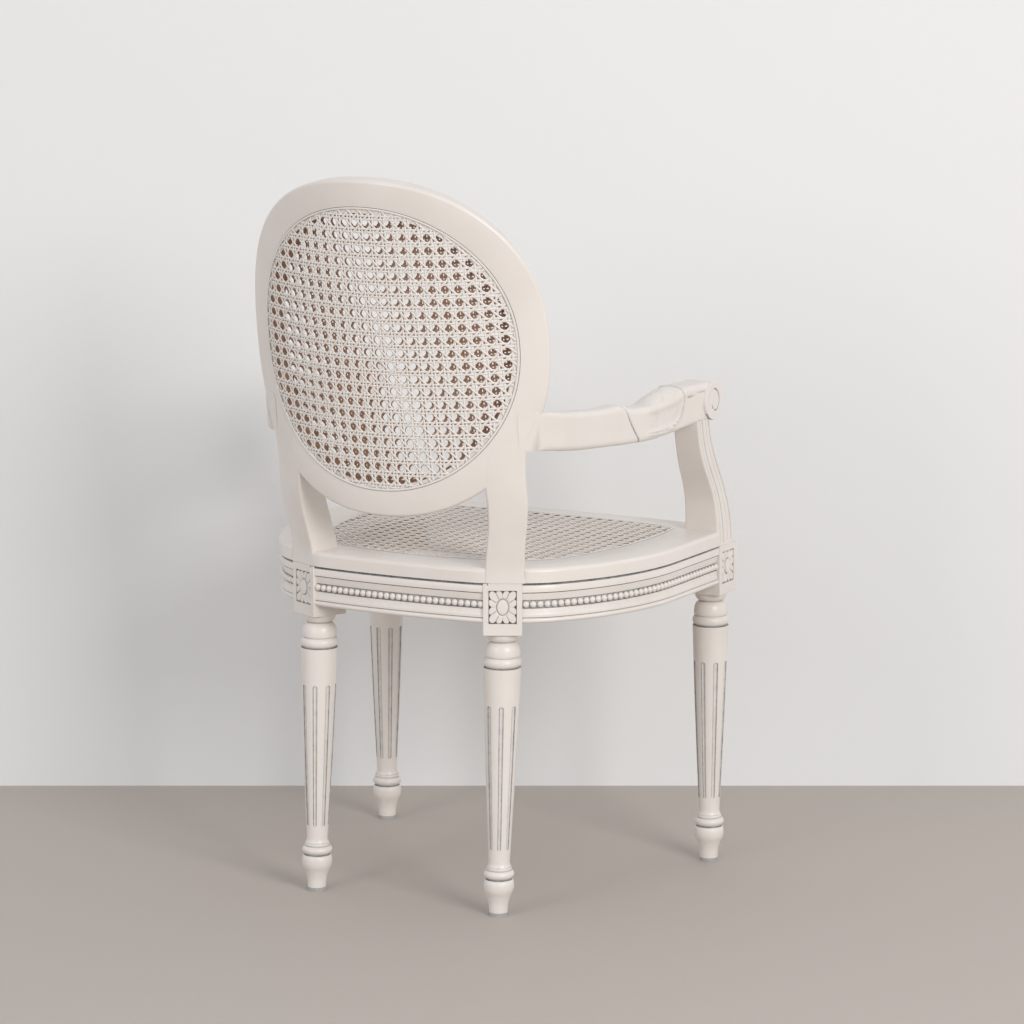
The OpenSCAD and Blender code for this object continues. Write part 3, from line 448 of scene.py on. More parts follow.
def buildRail(path, hidden):
    # hidden: how far the rail's two ends run into the blocks, in mm
    x, height, plain = np.array(railOutline(), float).T
    rings = []
    for placeX, placeY, angle in path:
        c, s = cosSin(angle)
        rings.append(np.column_stack([placeX + x * s, placeY + x * c, plan["railBottom"] + height]))
    for end in (0, 1, -1, -2):
        # the groove under the border runs out before the blocks
        rings[end][-3:-1, :2] = rings[end][-4, :2]
    moulded = (height > 7.3) & (height < 41.4)
    line, haze = [np.where(moulded, np.maximum(plain, railLook[name]), plain)
                  for name in ("line", "lineHaze")]
    ends = []
    for first, second, start in ((rings[0], rings[1], hidden[0]), (rings[-1], rings[-2], hidden[1])):
        # a thin dark line, then a little haze, beside each block
        length = np.linalg.norm(second[1] - first[1])
        ends.append([first + (second - first) * min((start + reach) / length, 0.95)
                     for reach in railLook["lineReaches"]])
    whole = [rings[0], *ends[0], *rings[1:-1], *ends[1][::-1], rings[-1]]
    return Build().sweep(whole, [line, line, haze, *[plain] * len(rings), haze, line, line])


rearHidden = math.radians(hiddenAngles["rear"]) * plan["rearRadius"]
sideHidden = math.radians(hiddenAngles["side"]) * plan["cornerRadius"]
buildRail(rearPath, (rearHidden, rearHidden)).piece("rearRail", "rear_rail")
buildRail(frontPath, (0.5, 0.5)).piece("frontRail", "front_rail")
bothSides(buildRail(sidePath, (sideHidden, 1.0)), "sideRail", "side_rail")
print("rails made")


# Carved beads, set along the rails

beadLook = {"size": 9.5, "rearPitch": 9.36, "sidePitch": 9.8, "height": 430.3, "sink": 4.0,
            "segments": 14, "rings": 9, "cleanAt": 0.0015, "darkAt": -0.0003}


def outwardOf(tree):
    kept = addNode(tree, "GeometryNodeInputNamedAttribute", {"Name": "outward"}, data_type="FLOAT_VECTOR")
    return kept.outputs["Attribute"]


def storeRecess(tree, geometry, axis, clean, dark):
    # recess from the place along an axis: 0 at clean, 1 at dark
    place = tree.nodes.new("GeometryNodeInputPosition").outputs["Position"]
    split = addNode(tree, "ShaderNodeSeparateXYZ", {"Vector": place})
    depth = addNode(tree, "ShaderNodeMapRange",
                    {"Value": split.outputs[axis], "From Min": clean, "From Max": dark})
    inputs = {"Geometry": geometry, "Name": "recess", "Value": depth.outputs["Result"]}
    store = addNode(tree, "GeometryNodeStoreNamedAttribute", inputs, data_type="FLOAT", domain="POINT")
    return store.outputs["Geometry"]


def finishTree(tree, geometry, material, out):
    real = addNode(tree, "GeometryNodeRealizeInstances", {"Geometry": geometry}).outputs["Geometry"]
    painted = addNode(tree, "GeometryNodeSetMaterial", {"Geometry": real, "Material": materials[material]})
    tree.links.new(painted.outputs["Geometry"], out)
    return tree


def beadTree():
    look = beadLook
    tree, given, out = newTree("beadString", "GeometryNodeTree", {"Spots": "Geometry", "Radius": "Float"},
                               {"Beads": "Geometry"})
    bead = addNode(tree, "GeometryNodeMeshUVSphere",
                   {"Segments": look["segments"], "Rings": look["rings"], "Radius": given["Radius"]})
    shaded = storeRecess(tree, bead.outputs["Mesh"], "Z", look["cleanAt"], look["darkAt"])
    align = addNode(tree, "FunctionNodeAlignRotationToVector", {"Vector": outwardOf(tree)}, axis="Z")
    beads = addNode(tree, "GeometryNodeInstanceOnPoints",
                    {"Points": given["Spots"], "Instance": shaded, "Rotation": align.outputs["Rotation"]})
    return finishTree(tree, beads.outputs["Instances"], "agedPaint", out["Beads"])


def outwardPiece(name, points, edges, outward):
    piece = newPiece(name, points, edges)
    kept = piece.data.attributes.new("outward", "FLOAT_VECTOR", "POINT")
    kept.data.foreach_set("vector", np.array(outward, float).ravel())
    return piece


def throughTree(piece, tree, sizes):
    # runs the tree on the piece with sizes in mm, and keeps the result as a plain mesh
    modifier = piece.modifiers.new("shape", "NODES")
    modifier.node_group = tree
    for socket in tree.interface.items_tree:
        if socket.name in sizes:
            modifier[socket.identifier] = sizes[socket.name] * unit
    graph = bpy.context.evaluated_depsgraph_get()
    mesh = bpy.data.meshes.new_from_object(piece.evaluated_get(graph), depsgraph=graph)
    piece.modifiers.clear()
    piece.data = mesh
    mesh.polygons.foreach_set("use_smooth", [True] * len(mesh.polygons))


def beadSpots(centre, radius, start, end, pitch):
    # spots along one arc, spaced evenly between its ends, and their outward directions
    count = round(math.radians(end - start) * radius / pitch)
    angles = [start + (end - start) * (i + 0.5) / count for i in range(count)]
    return ([(*onArc(centre, radius - beadLook["sink"], a), beadLook["height"]) for a in angles],
            [(*bearing(a), 0) for a in angles])


def sideBeadSpots():
    pitch = beadLook["sidePitch"]
    spots, outward = beadSpots(cornerCentre, plan["cornerRadius"], plan["cornerStart"], plan["cornerEnd"],
                               pitch)
    more, moreOut = beadSpots(sideCentre, sideRadius, plan["cornerEnd"], 90, pitch)
    length = sideCentre[1] - straightEnd
    count = round(length / pitch)
    straight = [(sideX - beadLook["sink"], straightEnd + length * (i + 0.5) / count, beadLook["height"])
                for i in range(count)]
    return spots + more + straight, outward + moreOut + [(1, 0, 0)] * count


def beadString(name, spots, outward):
    piece = outwardPiece(name, spots, [], outward)
    throughTree(piece, beadStringTree, {"Radius": beadLook["size"] / 2})
    settle(piece)


beadStringTree = beadTree()
rearPitch = beadLook["rearPitch"]
sideSpots, sideOutward = sideBeadSpots()
beadString("rearBeads", *beadSpots(rearCentre, plan["rearRadius"], -rearAngle, rearAngle, rearPitch))
beadString("frontBeads", *beadSpots(frontCentre, frontRadius, 180 - frontAngle, 180 + frontAngle, rearPitch))
beadString("sideBeadsLeft", sideSpots, sideOutward)
beadString("sideBeadsRight", *[np.array(rows) * [-1, 1, 1] for rows in (sideSpots, sideOutward)])
print("beads set")


# Legs: turned, fluted, with a carved block

legLook = {
    "footRadius": 20.8, "shaftTop": 25.5, "shaftFoot": 14.5, "belly": 0.7,
    "collar": 58.0, "collarHalf": 5.5, "shaftLow": 74.5, "shaftHigh": 340.8, "shoulder": 361.0, "neck": 15.7,
    "flutes": 8, "fluteWidth": 5.4, "fluteDepth": 2.0, "fluteLow": 95.5, "fluteHigh": 288.0,
    "fluteTaper": 0.8, "fluteEdge": 0.86, "fluteBed": 0.24,
}
footCurve = [[5.2, 12.6], [10.6, 12.9], [17.7, 13.5], [22.6, 14.7], [28.2, 16.6], [35.3, 19.9], [40.6, 20.8],
             [46.3, 20.6], [50, 19.3]]


def shaftRows():
    # closer rows at the round ends of the flutes
    look = legLook
    width, foot, low, high = look["fluteWidth"] / 2, look["shaftFoot"], look["shaftLow"], look["shaftHigh"]
    heights = [low, high, *np.linspace(look["fluteLow"], look["fluteHigh"], 24)[1:-1]]
    steps = [*np.sin(np.linspace(0, math.pi / 2, 7)) * width, width + 0.4]
    heights += [look["fluteLow"] - s for s in steps] + [look["fluteHigh"] + s for s in steps]
    rows = []
    for z in sorted(heights):
        share = (z - low) / (high - low)
        radius = foot + (look["shaftTop"] - foot) * share + look["belly"] * math.sin(math.pi * share)
        rows.append((radius, z, 0))
    return rows


def turnedOutline():
    # radius, height, recess
    look = legLook
    foot, collar, reach, neck = look["footRadius"], look["collar"], look["collarHalf"], look["neck"]
    top, high, shoulder, block = look["shaftTop"], look["shaftHigh"], look["shoulder"], plan["blockBottom"]
    rows = [(along(footCurve, z)[0], z, 0.25 if z < 6 else 0) for z in np.linspace(5.2, 50, 18)]
    rows += [(17.9, 51.0, 0.9), (17.6, 51.6, 1.0), (17.9, 52.3, 0.9)]
    rows += arcRows((foot - reach, collar), (reach, reach), -70, 70, 13, [0.35] + [0] * 11 + [0.35])
    rows += [(r, collar + z, mark) for r, z, mark in (
        (17.2, 5.8, 0.8), (17.1, 6.4, 0.5), (17.4, 6.9, 0), (17.3, 8.8, 0), (16.8, 9.8, 0.5),
        (15.5, 11.6, 0.1), (14.9, 14.0, 0))]
    rows += shaftRows()
    rows += [(top - 0.3, high + 0.3, 0.6), (top - 1.2, high + 0.6, 1.0), (top - 1.2, high + 1.3, 1.0)]
    rows += arcRows((top - 5.8, shoulder - 12.2), (5.9, 6.6), -72, 66, 15, [0.4] + [0] * 14, 0.75)
    rows += [(top - r, shoulder + z, mark) for r, z, mark in (
        (2.8, -5.2, 0.7), (2.1, -4.4, 0.2), (1.8, -2.5, 0), (1.7, 0, 0), (2.1, 3.5, 0), (2.6, 7, 0),
        (3.5, 9.5, 0), (4.6, 11.6, 0), (6.1, 13.2, 0.05))]
    rows += [(neck + 1.7, shoulder + 14.6, 0.2), (neck + 0.1, shoulder + 15.4, 0.6),
             (neck - 0.1, shoulder + 16, 0.6)]
    rows += arcRows((neck, block - 1.3), (6.7, 10), -90, 0, 9)
    return rows + [(neck + 6.7, block - 0.3, 0.2), (neck + 5, block + 0.3, 0.5)]


def buildTurning():
    look = legLook
    low, high, width, flutes = look["fluteLow"], look["fluteHigh"], look["fluteWidth"] / 2, look["flutes"]
    cell = 360 / flutes
    groove = np.array([-1, -0.9, -0.72, -0.45, -0.15, 0.15, 0.45, 0.72, 0.9, 1])
    land = np.linspace(0, 1, 9)[1:-1]
    tone = np.where(np.abs(groove) > 0.85, look["fluteEdge"], look["fluteBed"])
    rings, recess = [], []
    for radius, z, base in turnedOutline():
        # the flutes end in half circles and narrow towards the foot
        past = min(max(low - z, z - high, 0) / width, 1)
        taper = look["fluteTaper"] + (1 - look["fluteTaper"]) * (z - low) / (high - low)
        halfWidth = width * taper * math.sqrt(1 - past ** 2)
        halfAngle = math.degrees(max(halfWidth, 0.25) / radius)
        dip = look["fluteDepth"] * np.sqrt(1 - groove ** 2) * min(1, halfWidth / 1.5)
        one = np.concatenate([groove * halfAngle, halfAngle + (cell - 2 * halfAngle) * land])
        a = np.radians(np.concatenate([cell * (k + 0.5) + one for k in range(flutes)]))
        r = radius - np.tile(np.concatenate([dip, 0 * land]), flutes)
        rings.append(np.column_stack([r * np.cos(a), r * np.sin(a), np.full(len(a), z)]))
        recess.append(np.maximum(base, np.tile(np.concatenate([tone * (halfWidth > 0.2), 0 * land]), flutes)))
    return Build().sweep(rings, recess)


# Carved flower on a block: a height map over a panel

flowerLook = {"width": 38.0, "height": 45.4, "middle": 427.0, "deep": 2.9, "buttonWidth": 7.4,
              "buttonHeight": 10.2, "split": 16, "stepsAcross": 96, "stepsUp": 112, "edgeRound": 0.8,
              "topLine": 0.6}


def flowerRelief(u, v):
    # three lobes in each quarter: one to the corner, one on each side of it
    look = flowerLook
    x, y = u / (look["width"] / 2), v / (look["height"] / 2)
    fromCorner = np.abs(np.degrees(np.arctan2(np.abs(y), np.abs(x))) - 45)
    fromSplit = fromCorner - look["split"]
    reach = (np.abs(x) ** 8 + np.abs(y) ** 8) ** 0.125
    distance = np.radians(1) * np.hypot(u, v)
    split, axis = np.abs(fromSplit) * distance, (45 - fromCorner) * distance
    lobe = 0.985 - 0.13 * np.exp(-(fromSplit / 4.5) ** 2) - 0.17 * np.exp(-((fromCorner - 45) / 6) ** 2)
    fromRim = (lobe - reach) * 20
    petal = smoothStep(-0.3, 0.8, fromRim)
    body = 2.3 - 0.8 * smoothStep(0.62, 0.3, reach)
    onSplit = (1 - smoothStep(0.0, 0.9, split)) * smoothStep(1.0, 0.8, reach)
    body -= 1.3 * onSplit * smoothStep(0.42, 0.5, reach)
    body -= 0.9 * (1 - smoothStep(0.0, 0.8, axis))
    height = -look["deep"] + petal * body
    button = np.hypot(u / look["buttonWidth"], v / look["buttonHeight"])
    dome = -0.9 + 1.5 * np.sqrt(np.clip(1 - (button * 0.94) ** 4, 0, 1))
    moat = -1.7 * smoothStep(1.35, 1.0, button) - look["deep"] * 0.35 * (1 - smoothStep(1.0, 1.25, button))
    height = np.where(button < 1.0, dome, moat + height * smoothStep(0.98, 1.3, button))
    recess = 1.1 * (1 - smoothStep(-0.25, 0.45, fromRim))
    lines = 0.72 * (1 - smoothStep(0.15, 0.7, split)) * smoothStep(0.96, 0.78, reach)
    lines = np.maximum(lines, (0.35 + 0.5 * smoothStep(0.7, 0.85, reach)) * (1 - smoothStep(0.1, 0.6, axis)))
    recess = np.maximum(recess, lines * smoothStep(1.1, 1.45, button))
    recess = np.maximum(recess, 0.62 * np.exp(-((button - 1.08) / 0.09) ** 2))
    recess = np.maximum(recess, 0.16 * petal * (button > 1))
    border = np.maximum(np.abs(x), np.abs(y))
    height = height * (1 - smoothStep(0.985, 1.0, border))
    recess = np.where(border > 0.995, 0.05, np.where(border > 0.965, np.maximum(recess, 0.75), recess))
    return height, recess


def buildBlock(faces):
    # faces: angles of the carved faces, 0 is +X
    look, width, soft = flowerLook, plan["blockWidth"], flowerLook["edgeRound"]
    low, top = plan["blockBottom"], plan["railTop"] - 0.5
    shell = []
    for z, inset in ((low, soft), (low + 0.25, 0.25), (low + soft, 0), (top, 0)):
        ring, _ = roundRect(width - 2 * inset, width - 2 * inset, soft, 1, 4)
        shell += [(x, y, z) for x, y in ring]
    shell = np.array(shell)
    plain = []
    for f in sweepFaces(4, len(shell) // 4):
        # the carved faces are left out here
        x, y, _ = shell[list(f)].mean(0)
        away = min(abs((math.degrees(math.atan2(y, x)) - a + 180) % 360 - 180) for a in faces)
        tall = len(f) == 4 and np.ptp(shell[list(f)][:, 2]) > 20
        if not (tall and away < 20 and math.hypot(x, y) < half + 0.5):
            plain.append(f)
    block = Build().add(shell, plain)
    edge, flat = look["width"] / 2, half - soft
    panelLow, panelHigh = look["middle"] - look["height"] / 2, look["middle"] + look["height"] / 2
    across = [-flat, -edge - 0.05, *np.linspace(-edge, edge, look["stepsAcross"]), edge + 0.05, flat]
    rise = [low + soft, panelLow - 0.05, *np.linspace(panelLow, panelHigh, look["stepsUp"]), panelHigh + 0.05,
            top - 0.7, top]
    u, v = np.meshgrid(across, rise)
    inside = (np.abs(u) <= edge + 1e-6) & (v >= panelLow - 1e-6) & (v <= panelHigh + 1e-6)
    height, recess = [np.where(inside, part, 0) for part in flowerRelief(u, v - look["middle"])]
    # thin line where the block meets the part above it
    recess = np.where(v > top - 0.3, look["topLine"], recess)
    for a in faces:
        c, s = cosSin(a)
        out = half + height
        points = np.stack([out * c - u * s, out * s + u * c, v], -1)
        block.add(points, gridFaces(len(rise), len(across)), recess)
    return block


def placeAt(build, axis, angle, lean=0.0):
    # turned about its own axis, moved to a leg's axis and leant from the block's underside down
    c, s = cosSin(angle)
    x, y, z = np.array(build.points).T
    shift = (plan["blockBottom"] - z) * math.tan(math.radians(lean))
    build.points = np.column_stack([x * c - y * s + axis[0], x * s + y * c + axis[1] + shift, z]).tolist()
    return build


def merge(*builds):
    whole = Build()
    for b in builds:
        whole.add(b.points, b.faces, b.recess)
    return whole


# Back: an oval frame on a curved surface, raked

backLook = {
    "z": 772.8, "y": 254.8, "rake": 7.24, "radius": 350.8,
    "openHalfWidth": 194.0, "openHalfHeight": 193.5, "openRoundness": 2.11,
    "sideWidth": 33.1, "topWidth": 35.6, "outerRoundness": 2.29,
    "thickness": 25.4, "edgeRound": 4.6, "crestJoint": 40, "baseJoint": -62, "step": 1.25,
    "splineRise": 0.1,
}
rakeCos, rakeSin = cosSin(backLook["rake"])
backCentre = np.array([0, backLook["y"] - backLook["radius"] * rakeCos,
                       backLook["z"] + backLook["radius"] * rakeSin])


def backPoint(u, v, t):
    # u across, v up the back, t deep from its rear face
    u, v, t = np.broadcast_arrays(np.asarray(u, float), np.asarray(v, float), np.asarray(t, float))
    s = u / backLook["radius"]
    c = np.sqrt(1 - s * s)
    out = np.stack([s, c * rakeCos, -c * rakeSin], -1)
    return backCentre + (backLook["radius"] - t)[..., None] * out + v[..., None] * [0, rakeSin, rakeCos]


def oval(halfWidth, halfHeight, roundness, th):
    c, s = math.cos(th), math.sin(th)
    return np.array([halfWidth * np.sign(c) * abs(c) ** (2 / roundness),
                     halfHeight * np.sign(s) * abs(s) ** (2 / roundness)])


def frameRing(th, outline):
    # outline(width) gives w outwards from the opening, t deep from the rear face, recess
    look = backLook
    inner = oval(look["openHalfWidth"], look["openHalfHeight"], look["openRoundness"], th)
    outer = oval(look["openHalfWidth"] + look["sideWidth"], look["openHalfHeight"] + look["topWidth"],
                 look["outerRoundness"], th)
    width = np.linalg.norm(outer - inner)
    w, t, recess = np.array(outline(width), float).T
    u, v = inner[:, None] + (outer - inner)[:, None] * (w / width)
    return backPoint(u, v, t), recess


def splineRows(rise):
    # w outwards from an opening, height of the spline above the face, recess
    return [(-0.25, -2.6, 1.0), (-0.35, rise, 0.85), (-0.8, rise + 0.55, 0.1), (-1.5, rise + 0.85, 0),
            (-2.2, rise + 0.85, 0), (-3.0, rise + 0.5, 0.1), (-3.6, rise - 0.2, 0.5), (-3.9, -1.2, 0.9),
            (-3.9, -2.6, 1.0)]


def frameOutline(width):
    deep, r = backLook["thickness"], backLook["edgeRound"]
    rows = [(-9.0, 1.5, 0.1), (-9.0, deep - 1.5, 0.1), (-4.2, deep - 1.5, 0.1), (-0.15, deep - 3.0, 0.9),
            (-0.1, deep - 0.8, 0.9), (0.15, deep - 0.2, 0.25), (0.9, deep, 0)]
    rows += arcRows((width - r, deep - r), (r, r), 90, 0, 9) + arcRows((width - r, r), (r, r), 0, -90, 9)
    return rows + [(0.9, 0.0, 0), (0.15, 0.2, 0.25), (-0.1, 0.8, 0.9), (-0.15, 3.0, 0.9), (-4.2, 1.5, 0.1)]


def buildFrame(start, end):
    angles = np.radians(np.linspace(start, end, int((end - start) / backLook["step"]) + 1))
    rings, recess = zip(*[frameRing(th, frameOutline) for th in angles])
    frameArc = Build().sweep(rings, recess)
    # the wall between the two nets is unpainted
    frameArc.unpainted = [i * len(rings[0]) for i in range(len(rings) - 1)]
    return frameArc


def buildBackSpline(face, out):
    # face: depth of the frame's face, out: +1 towards the front, -1 towards the rear
    placed = [(w, face + out * h, mark) for w, h, mark in splineRows(backLook["splineRise"])][::-out]
    around = np.linspace(0, 2 * math.pi, 289)[:-1]
    rings, recess = zip(*[frameRing(th, lambda width: placed) for th in around])
    return Build().sweep(rings, recess, closedAlong=True)


crest, base = backLook["crestJoint"], backLook["baseJoint"]
buildFrame(crest, 180 - crest).piece("backCrest", "back_crest")
buildFrame(180 - base, 360 + base).piece("backBase", "back_base")
bothSides(buildFrame(base, crest), "backSide", "back_side")
buildBackSpline(0.0, -1).piece("backSplineOuter", "back_spline_outer", "cane")
buildBackSpline(backLook["thickness"], 1).piece("backSplineInner", "back_spline_inner", "cane")
print("oval frame made")


# Stiles: from the seat into the oval frame; v, inner edge, outer edge, depth, set-in from the rear face

stileTable = [
    [-325, 134, 185, 46.4, 4.6], [-300, 136, 185, 44, 7], [-270, 140, 187, 42.5, 5],
    [-240, 144, 190.5, 41.8, 2.1], [-210, 144.5, 192.5, 38.6, 0.45], [-180, 143, 192, 34, -0.03],
    [-155, 146, 193, 29, -0.03], [-130, 153, 197, 26, -0.03],
]


stileLook = {"edgeRound": 3.2, "step": 4}


def buildStile():
    rings = []
    for v in np.arange(stileTable[0][0], stileTable[-1][0] + 0.5, stileLook["step"]):
        inner, outer, deep, inset = along(stileTable, v)
        outline, _ = roundRect(outer - inner, deep, stileLook["edgeRound"], 3, 5)
        rings.append(backPoint((inner + outer) / 2 + outline[:, 0], v, inset + deep / 2 - outline[:, 1]))
    rings = np.array(rings)
    # the foot of the stile is level
    rings[..., 2] = np.maximum(rings[..., 2], plan["railTop"] - 0.35)
    return Build().sweep(rings)


rearTurned = 90 - plan["rearTurn"]
fluteTurn = 180 / legLook["flutes"]
rearTurning = placeAt(buildTurning(), rearAxis, rearTurned - fluteTurn, plan["rearLean"])
rearBlock = placeAt(buildBlock([0]), rearAxis, rearTurned)
bothSides(merge(rearTurning, rearBlock, buildStile()), "rearLeg", "rear_leg")
frontTurning = placeAt(buildTurning(), frontAxis, fluteTurn)
frontBlock = placeAt(buildBlock([0, -90]), frontAxis, 0)
bothSides(merge(frontTurning, frontBlock), "frontLeg", "front_leg")
print("legs made")


# Seat: opening for the cane, border, spline

seatLook = {
    "openRear": 137.0, "openFront": 241.0, "openHalfWidth": 226.0,
    "rearArc": 420.0, "cornerArc": 110.0, "frontArc": 1500.0,
    "rearAngle": 17.0, "cornerAngle": 70.0, "sideAngle": 99.0, "frontAngle": 7.8,
    "borderRound": 5.5, "borderLap": 10, "openingLap": 9.0, "caneSink": 2.6, "step": 2.0, "splineRise": 0.0,
}
seatMiddle = np.array([0.0, -50.0])


def openingCurve(grow):
    # right half from the rear to the front, then the left half back
    look = seatLook
    rear = np.array([0, look["openRear"] - look["rearArc"]])
    corner = onArc(rear, look["rearArc"] - look["cornerArc"], look["rearAngle"])
    side, radius = meetSide(corner, look["cornerArc"], look["cornerAngle"], look["openHalfWidth"])
    front = np.array([0, look["frontArc"] - look["openFront"]])
    right = []
    for centre, r, start, end in ((rear, look["rearArc"], 0, look["rearAngle"]),
                                  (corner, look["cornerArc"], look["rearAngle"], look["cornerAngle"]),
                                  (side, radius, look["cornerAngle"], look["sideAngle"]),
                                  (front, look["frontArc"], 180 - look["frontAngle"], 180)):
        count = max(3, int(math.radians(abs(end - start)) * r / look["step"]))
        right += [onArc(centre, r + grow, a) for a in np.linspace(start, end, count)[1:]]
    return np.vstack([right, np.array(right)[::-1][1:] * [-1, 1]])


def openingReach(grow, direction):
    # distance from the seat's middle to the opening's edge, in a direction in radians from the rear
    x, y = (openingCurve(grow) - seatMiddle).T
    around = np.arctan2(x, y)
    order = np.argsort(around)
    return np.interp(direction, around[order], np.hypot(x, y)[order], period=2 * math.pi)


def lookFrom(point):
    # direction of a point as seen from the seat's middle, in degrees from the rear
    return math.degrees(math.atan2(*(point - seatMiddle)))


def borderStations(path):
    # outer point, outward direction, 1 for the rounded edge or 0 for a plain one
    return [(np.array([x, y]), bearing(a), 1.0) for x, y, a in path]


def buildBorder(stations, least=-180.0, most=180.0):
    # least and most bound the direction from the seat's middle in which a station looks for the opening
    top, low, r = plan["seatTop"], plan["railTop"] + 0.2, seatLook["borderRound"]
    inner, bed = -seatLook["openingLap"], top - seatLook["caneSink"]
    rings = []
    for point, out, edge in stations:
        reach = plan["overhang"] * edge
        under = reach - seatLook["borderLap"] * edge
        ring = [(*(point + out * under), low), (*(point + out * reach), low)]
        for inward, z, _ in arcRows((r, top - r), (-r, r), 0, 90, 9):
            ring.append((*(point + out * (reach - inward * edge)), z))
        angle = np.clip(lookFrom(point), least, most)
        for grow, z in ((0.8, top), (0.15, top - 0.25), (0.0, top - 1.0), (0.0, bed), (inner, bed),
                        (inner, low)):
            ring.append((*onArc(seatMiddle, openingReach(grow, math.radians(angle)), angle), z))
        rings.append(ring)
    recess = np.zeros((len(rings), len(ring)))
    recess[:, 12:14] = 0.6
    return Build().sweep(rings, recess)


stileFoot = {"inner": 136.0, "outer": 185.0, "front": 51.0, "rear": 6.4, "rise": -305.0}
innerCorner, outerCorner, innerEnd, outerEnd = [
    backPoint(stileFoot[across], stileFoot["rise"], stileFoot[deep])[:2] + shift
    for across, deep, shift in (("inner", "front", [0.2, 0.2]), ("outer", "front", [-0.2, 0.2]),
                                ("inner", "rear", [0, 0]), ("outer", "rear", [0, 0]))]
still, mirror = np.array([0.0, 1.0]), np.array([-1.0, 1.0])
rearOut, sideOut = bearing(rearAngle), bearing(plan["cornerStart"] + 1)
rearFull = borderStations(arcPath(rearCentre, plan["rearRadius"], -rearAngle, rearAngle, 36))
rearStations = [s for s in rearFull if abs(s[0][0]) < innerEnd[0] - 3]
leftEnds = [(innerEnd + [0.4, -0.6] - rearOut * plan["overhang"], rearOut, 1.0), (innerCorner, still, 0.0)]
rightEnds = [(point * mirror, out * mirror, edge) for point, out, edge in leftEnds[::-1]]
rearBorder = buildBorder(rightEnds + rearStations + leftEnds, -lookFrom(innerCorner), lookFrom(innerCorner))
rearBorder.piece("rearBorder", "rear_border")
blockCorner = np.array([plan["frontX"] - half, straightEnd])
sideRun = [s for s in borderStations(sidePath[2:-1])
           if s[0][0] > outerEnd[0] + 0.5 or s[0][1] < outerEnd[1] - 2]
sideStations = [(innerCorner, still, 0.0), (outerCorner, still, 0.0),
                (outerEnd + [-0.9, -0.4] - sideOut * plan["overhang"], sideOut, 1.0), *sideRun,
                (np.array([sideX, straightEnd]), np.array([1.0, 0.0]), 1.0), (blockCorner, still, 0.0)]
bothSides(buildBorder(sideStations, lookFrom(innerCorner)), "sideBorder", "side_border")
frontStations = [(blockCorner, still, 0.0), *borderStations(frontPath[1:-1]),
                 (blockCorner * mirror, still, 0.0)]
buildBorder(frontStations).piece("frontBorder", "front_border")


def buildSeatSpline():
    rows = splineRows(seatLook["splineRise"])
    columns = [[(x, y, plan["seatTop"] + rise) for x, y in openingCurve(grow)] for grow, rise, _ in rows]
    return Build().sweep(np.swapaxes(columns, 0, 1), [mark for _, _, mark in rows], closedAlong=True)


buildSeatSpline().piece("seatSpline", "seat_spline", "cane")
print("seat border made")


# Cane: six-way weave of flat strands, swept by geometry nodes

weaveLook = {"strandWidth": 3.15, "strandThick": 0.5, "pairGap": 1.25, "lift": 0.42, "steps": 8,
             "margin": 2.4, "washedAt": 0.2, "bareAt": -0.6, "backDepth": 0.9, "seatDepth": 0.8,
             "pairLevel": 0.15, "pairWave": 0.85, "diagonalLevel": 0.4, "diagonalWave": 1.3}
# each net: one hole's centre, spacing across and up, how far its rows and columns tilt in degrees, how far it
# spans, and how much the columns spread towards one side
netLook = {
    "outer": {"hole": (39.2, 14.1), "across": 16.76, "up": 17.39, "rowTilt": -0.2, "columnTilt": -1.76,
              "span": 200, "spread": 0.0},
    "inner": {"hole": (52.6, 5.4), "across": 16.98, "up": 17.77, "rowTilt": -2.9, "columnTilt": -2.9,
              "span": 200, "spread": 0.13},
    "seat": {"hole": (8.5, 8.5), "across": 17.0, "up": 17.0, "rowTilt": 0.0, "columnTilt": 0.0,
             "span": 235, "spread": 0.0},
}
seatShift = np.array([0.0, (seatLook["openRear"] - seatLook["openFront"]) / 2])


def strandTree():
    tree, given, out = newTree("caneStrands", "GeometryNodeTree",
                               {"Lines": "Geometry", "Half Width": "Float", "Half Thickness": "Float"},
                               {"Strands": "Geometry"})
    lines = addNode(tree, "GeometryNodeMeshToCurve", {"Mesh": given["Lines"]}).outputs["Curve"]
    inputs = {"Curve": lines, "Normal": outwardOf(tree)}
    turned = addNode(tree, "GeometryNodeSetCurveNormal", inputs, mode="FREE")
    circle = addNode(tree, "GeometryNodeCurvePrimitiveCircle", {"Resolution": 6, "Radius": 1.0})
    shaded = storeRecess(tree, circle.outputs["Curve"], "X", weaveLook["washedAt"], weaveLook["bareAt"])
    size = addNode(tree, "ShaderNodeCombineXYZ",
                   {"X": given["Half Thickness"], "Y": given["Half Width"], "Z": 1.0})
    flat = addNode(tree, "GeometryNodeTransform", {"Geometry": shaded, "Scale": size.outputs["Vector"]})
    sweep = addNode(tree, "GeometryNodeCurveToMesh", {"Curve": turned.outputs["Curve"], "Fill Caps": True,
                                                      "Profile Curve": flat.outputs["Geometry"]})
    return finishTree(tree, sweep.outputs["Mesh"], "washedCane", out["Strands"])


def pairHeight(way, place):
    # over one strand and under the next where the pairs cross, and level between
    wave = np.sin(2 * np.pi * (place - 0.5)) * np.cos(np.pi * (place - 0.5)) ** 2 * 1.5
    return weaveLook["pairLevel"] + way * weaveLook["pairWave"] * wave


def diagonalHeight(way, place):
    return weaveLook["diagonalLevel"] + way * weaveLook["diagonalWave"] * np.cos(2 * np.pi * place)


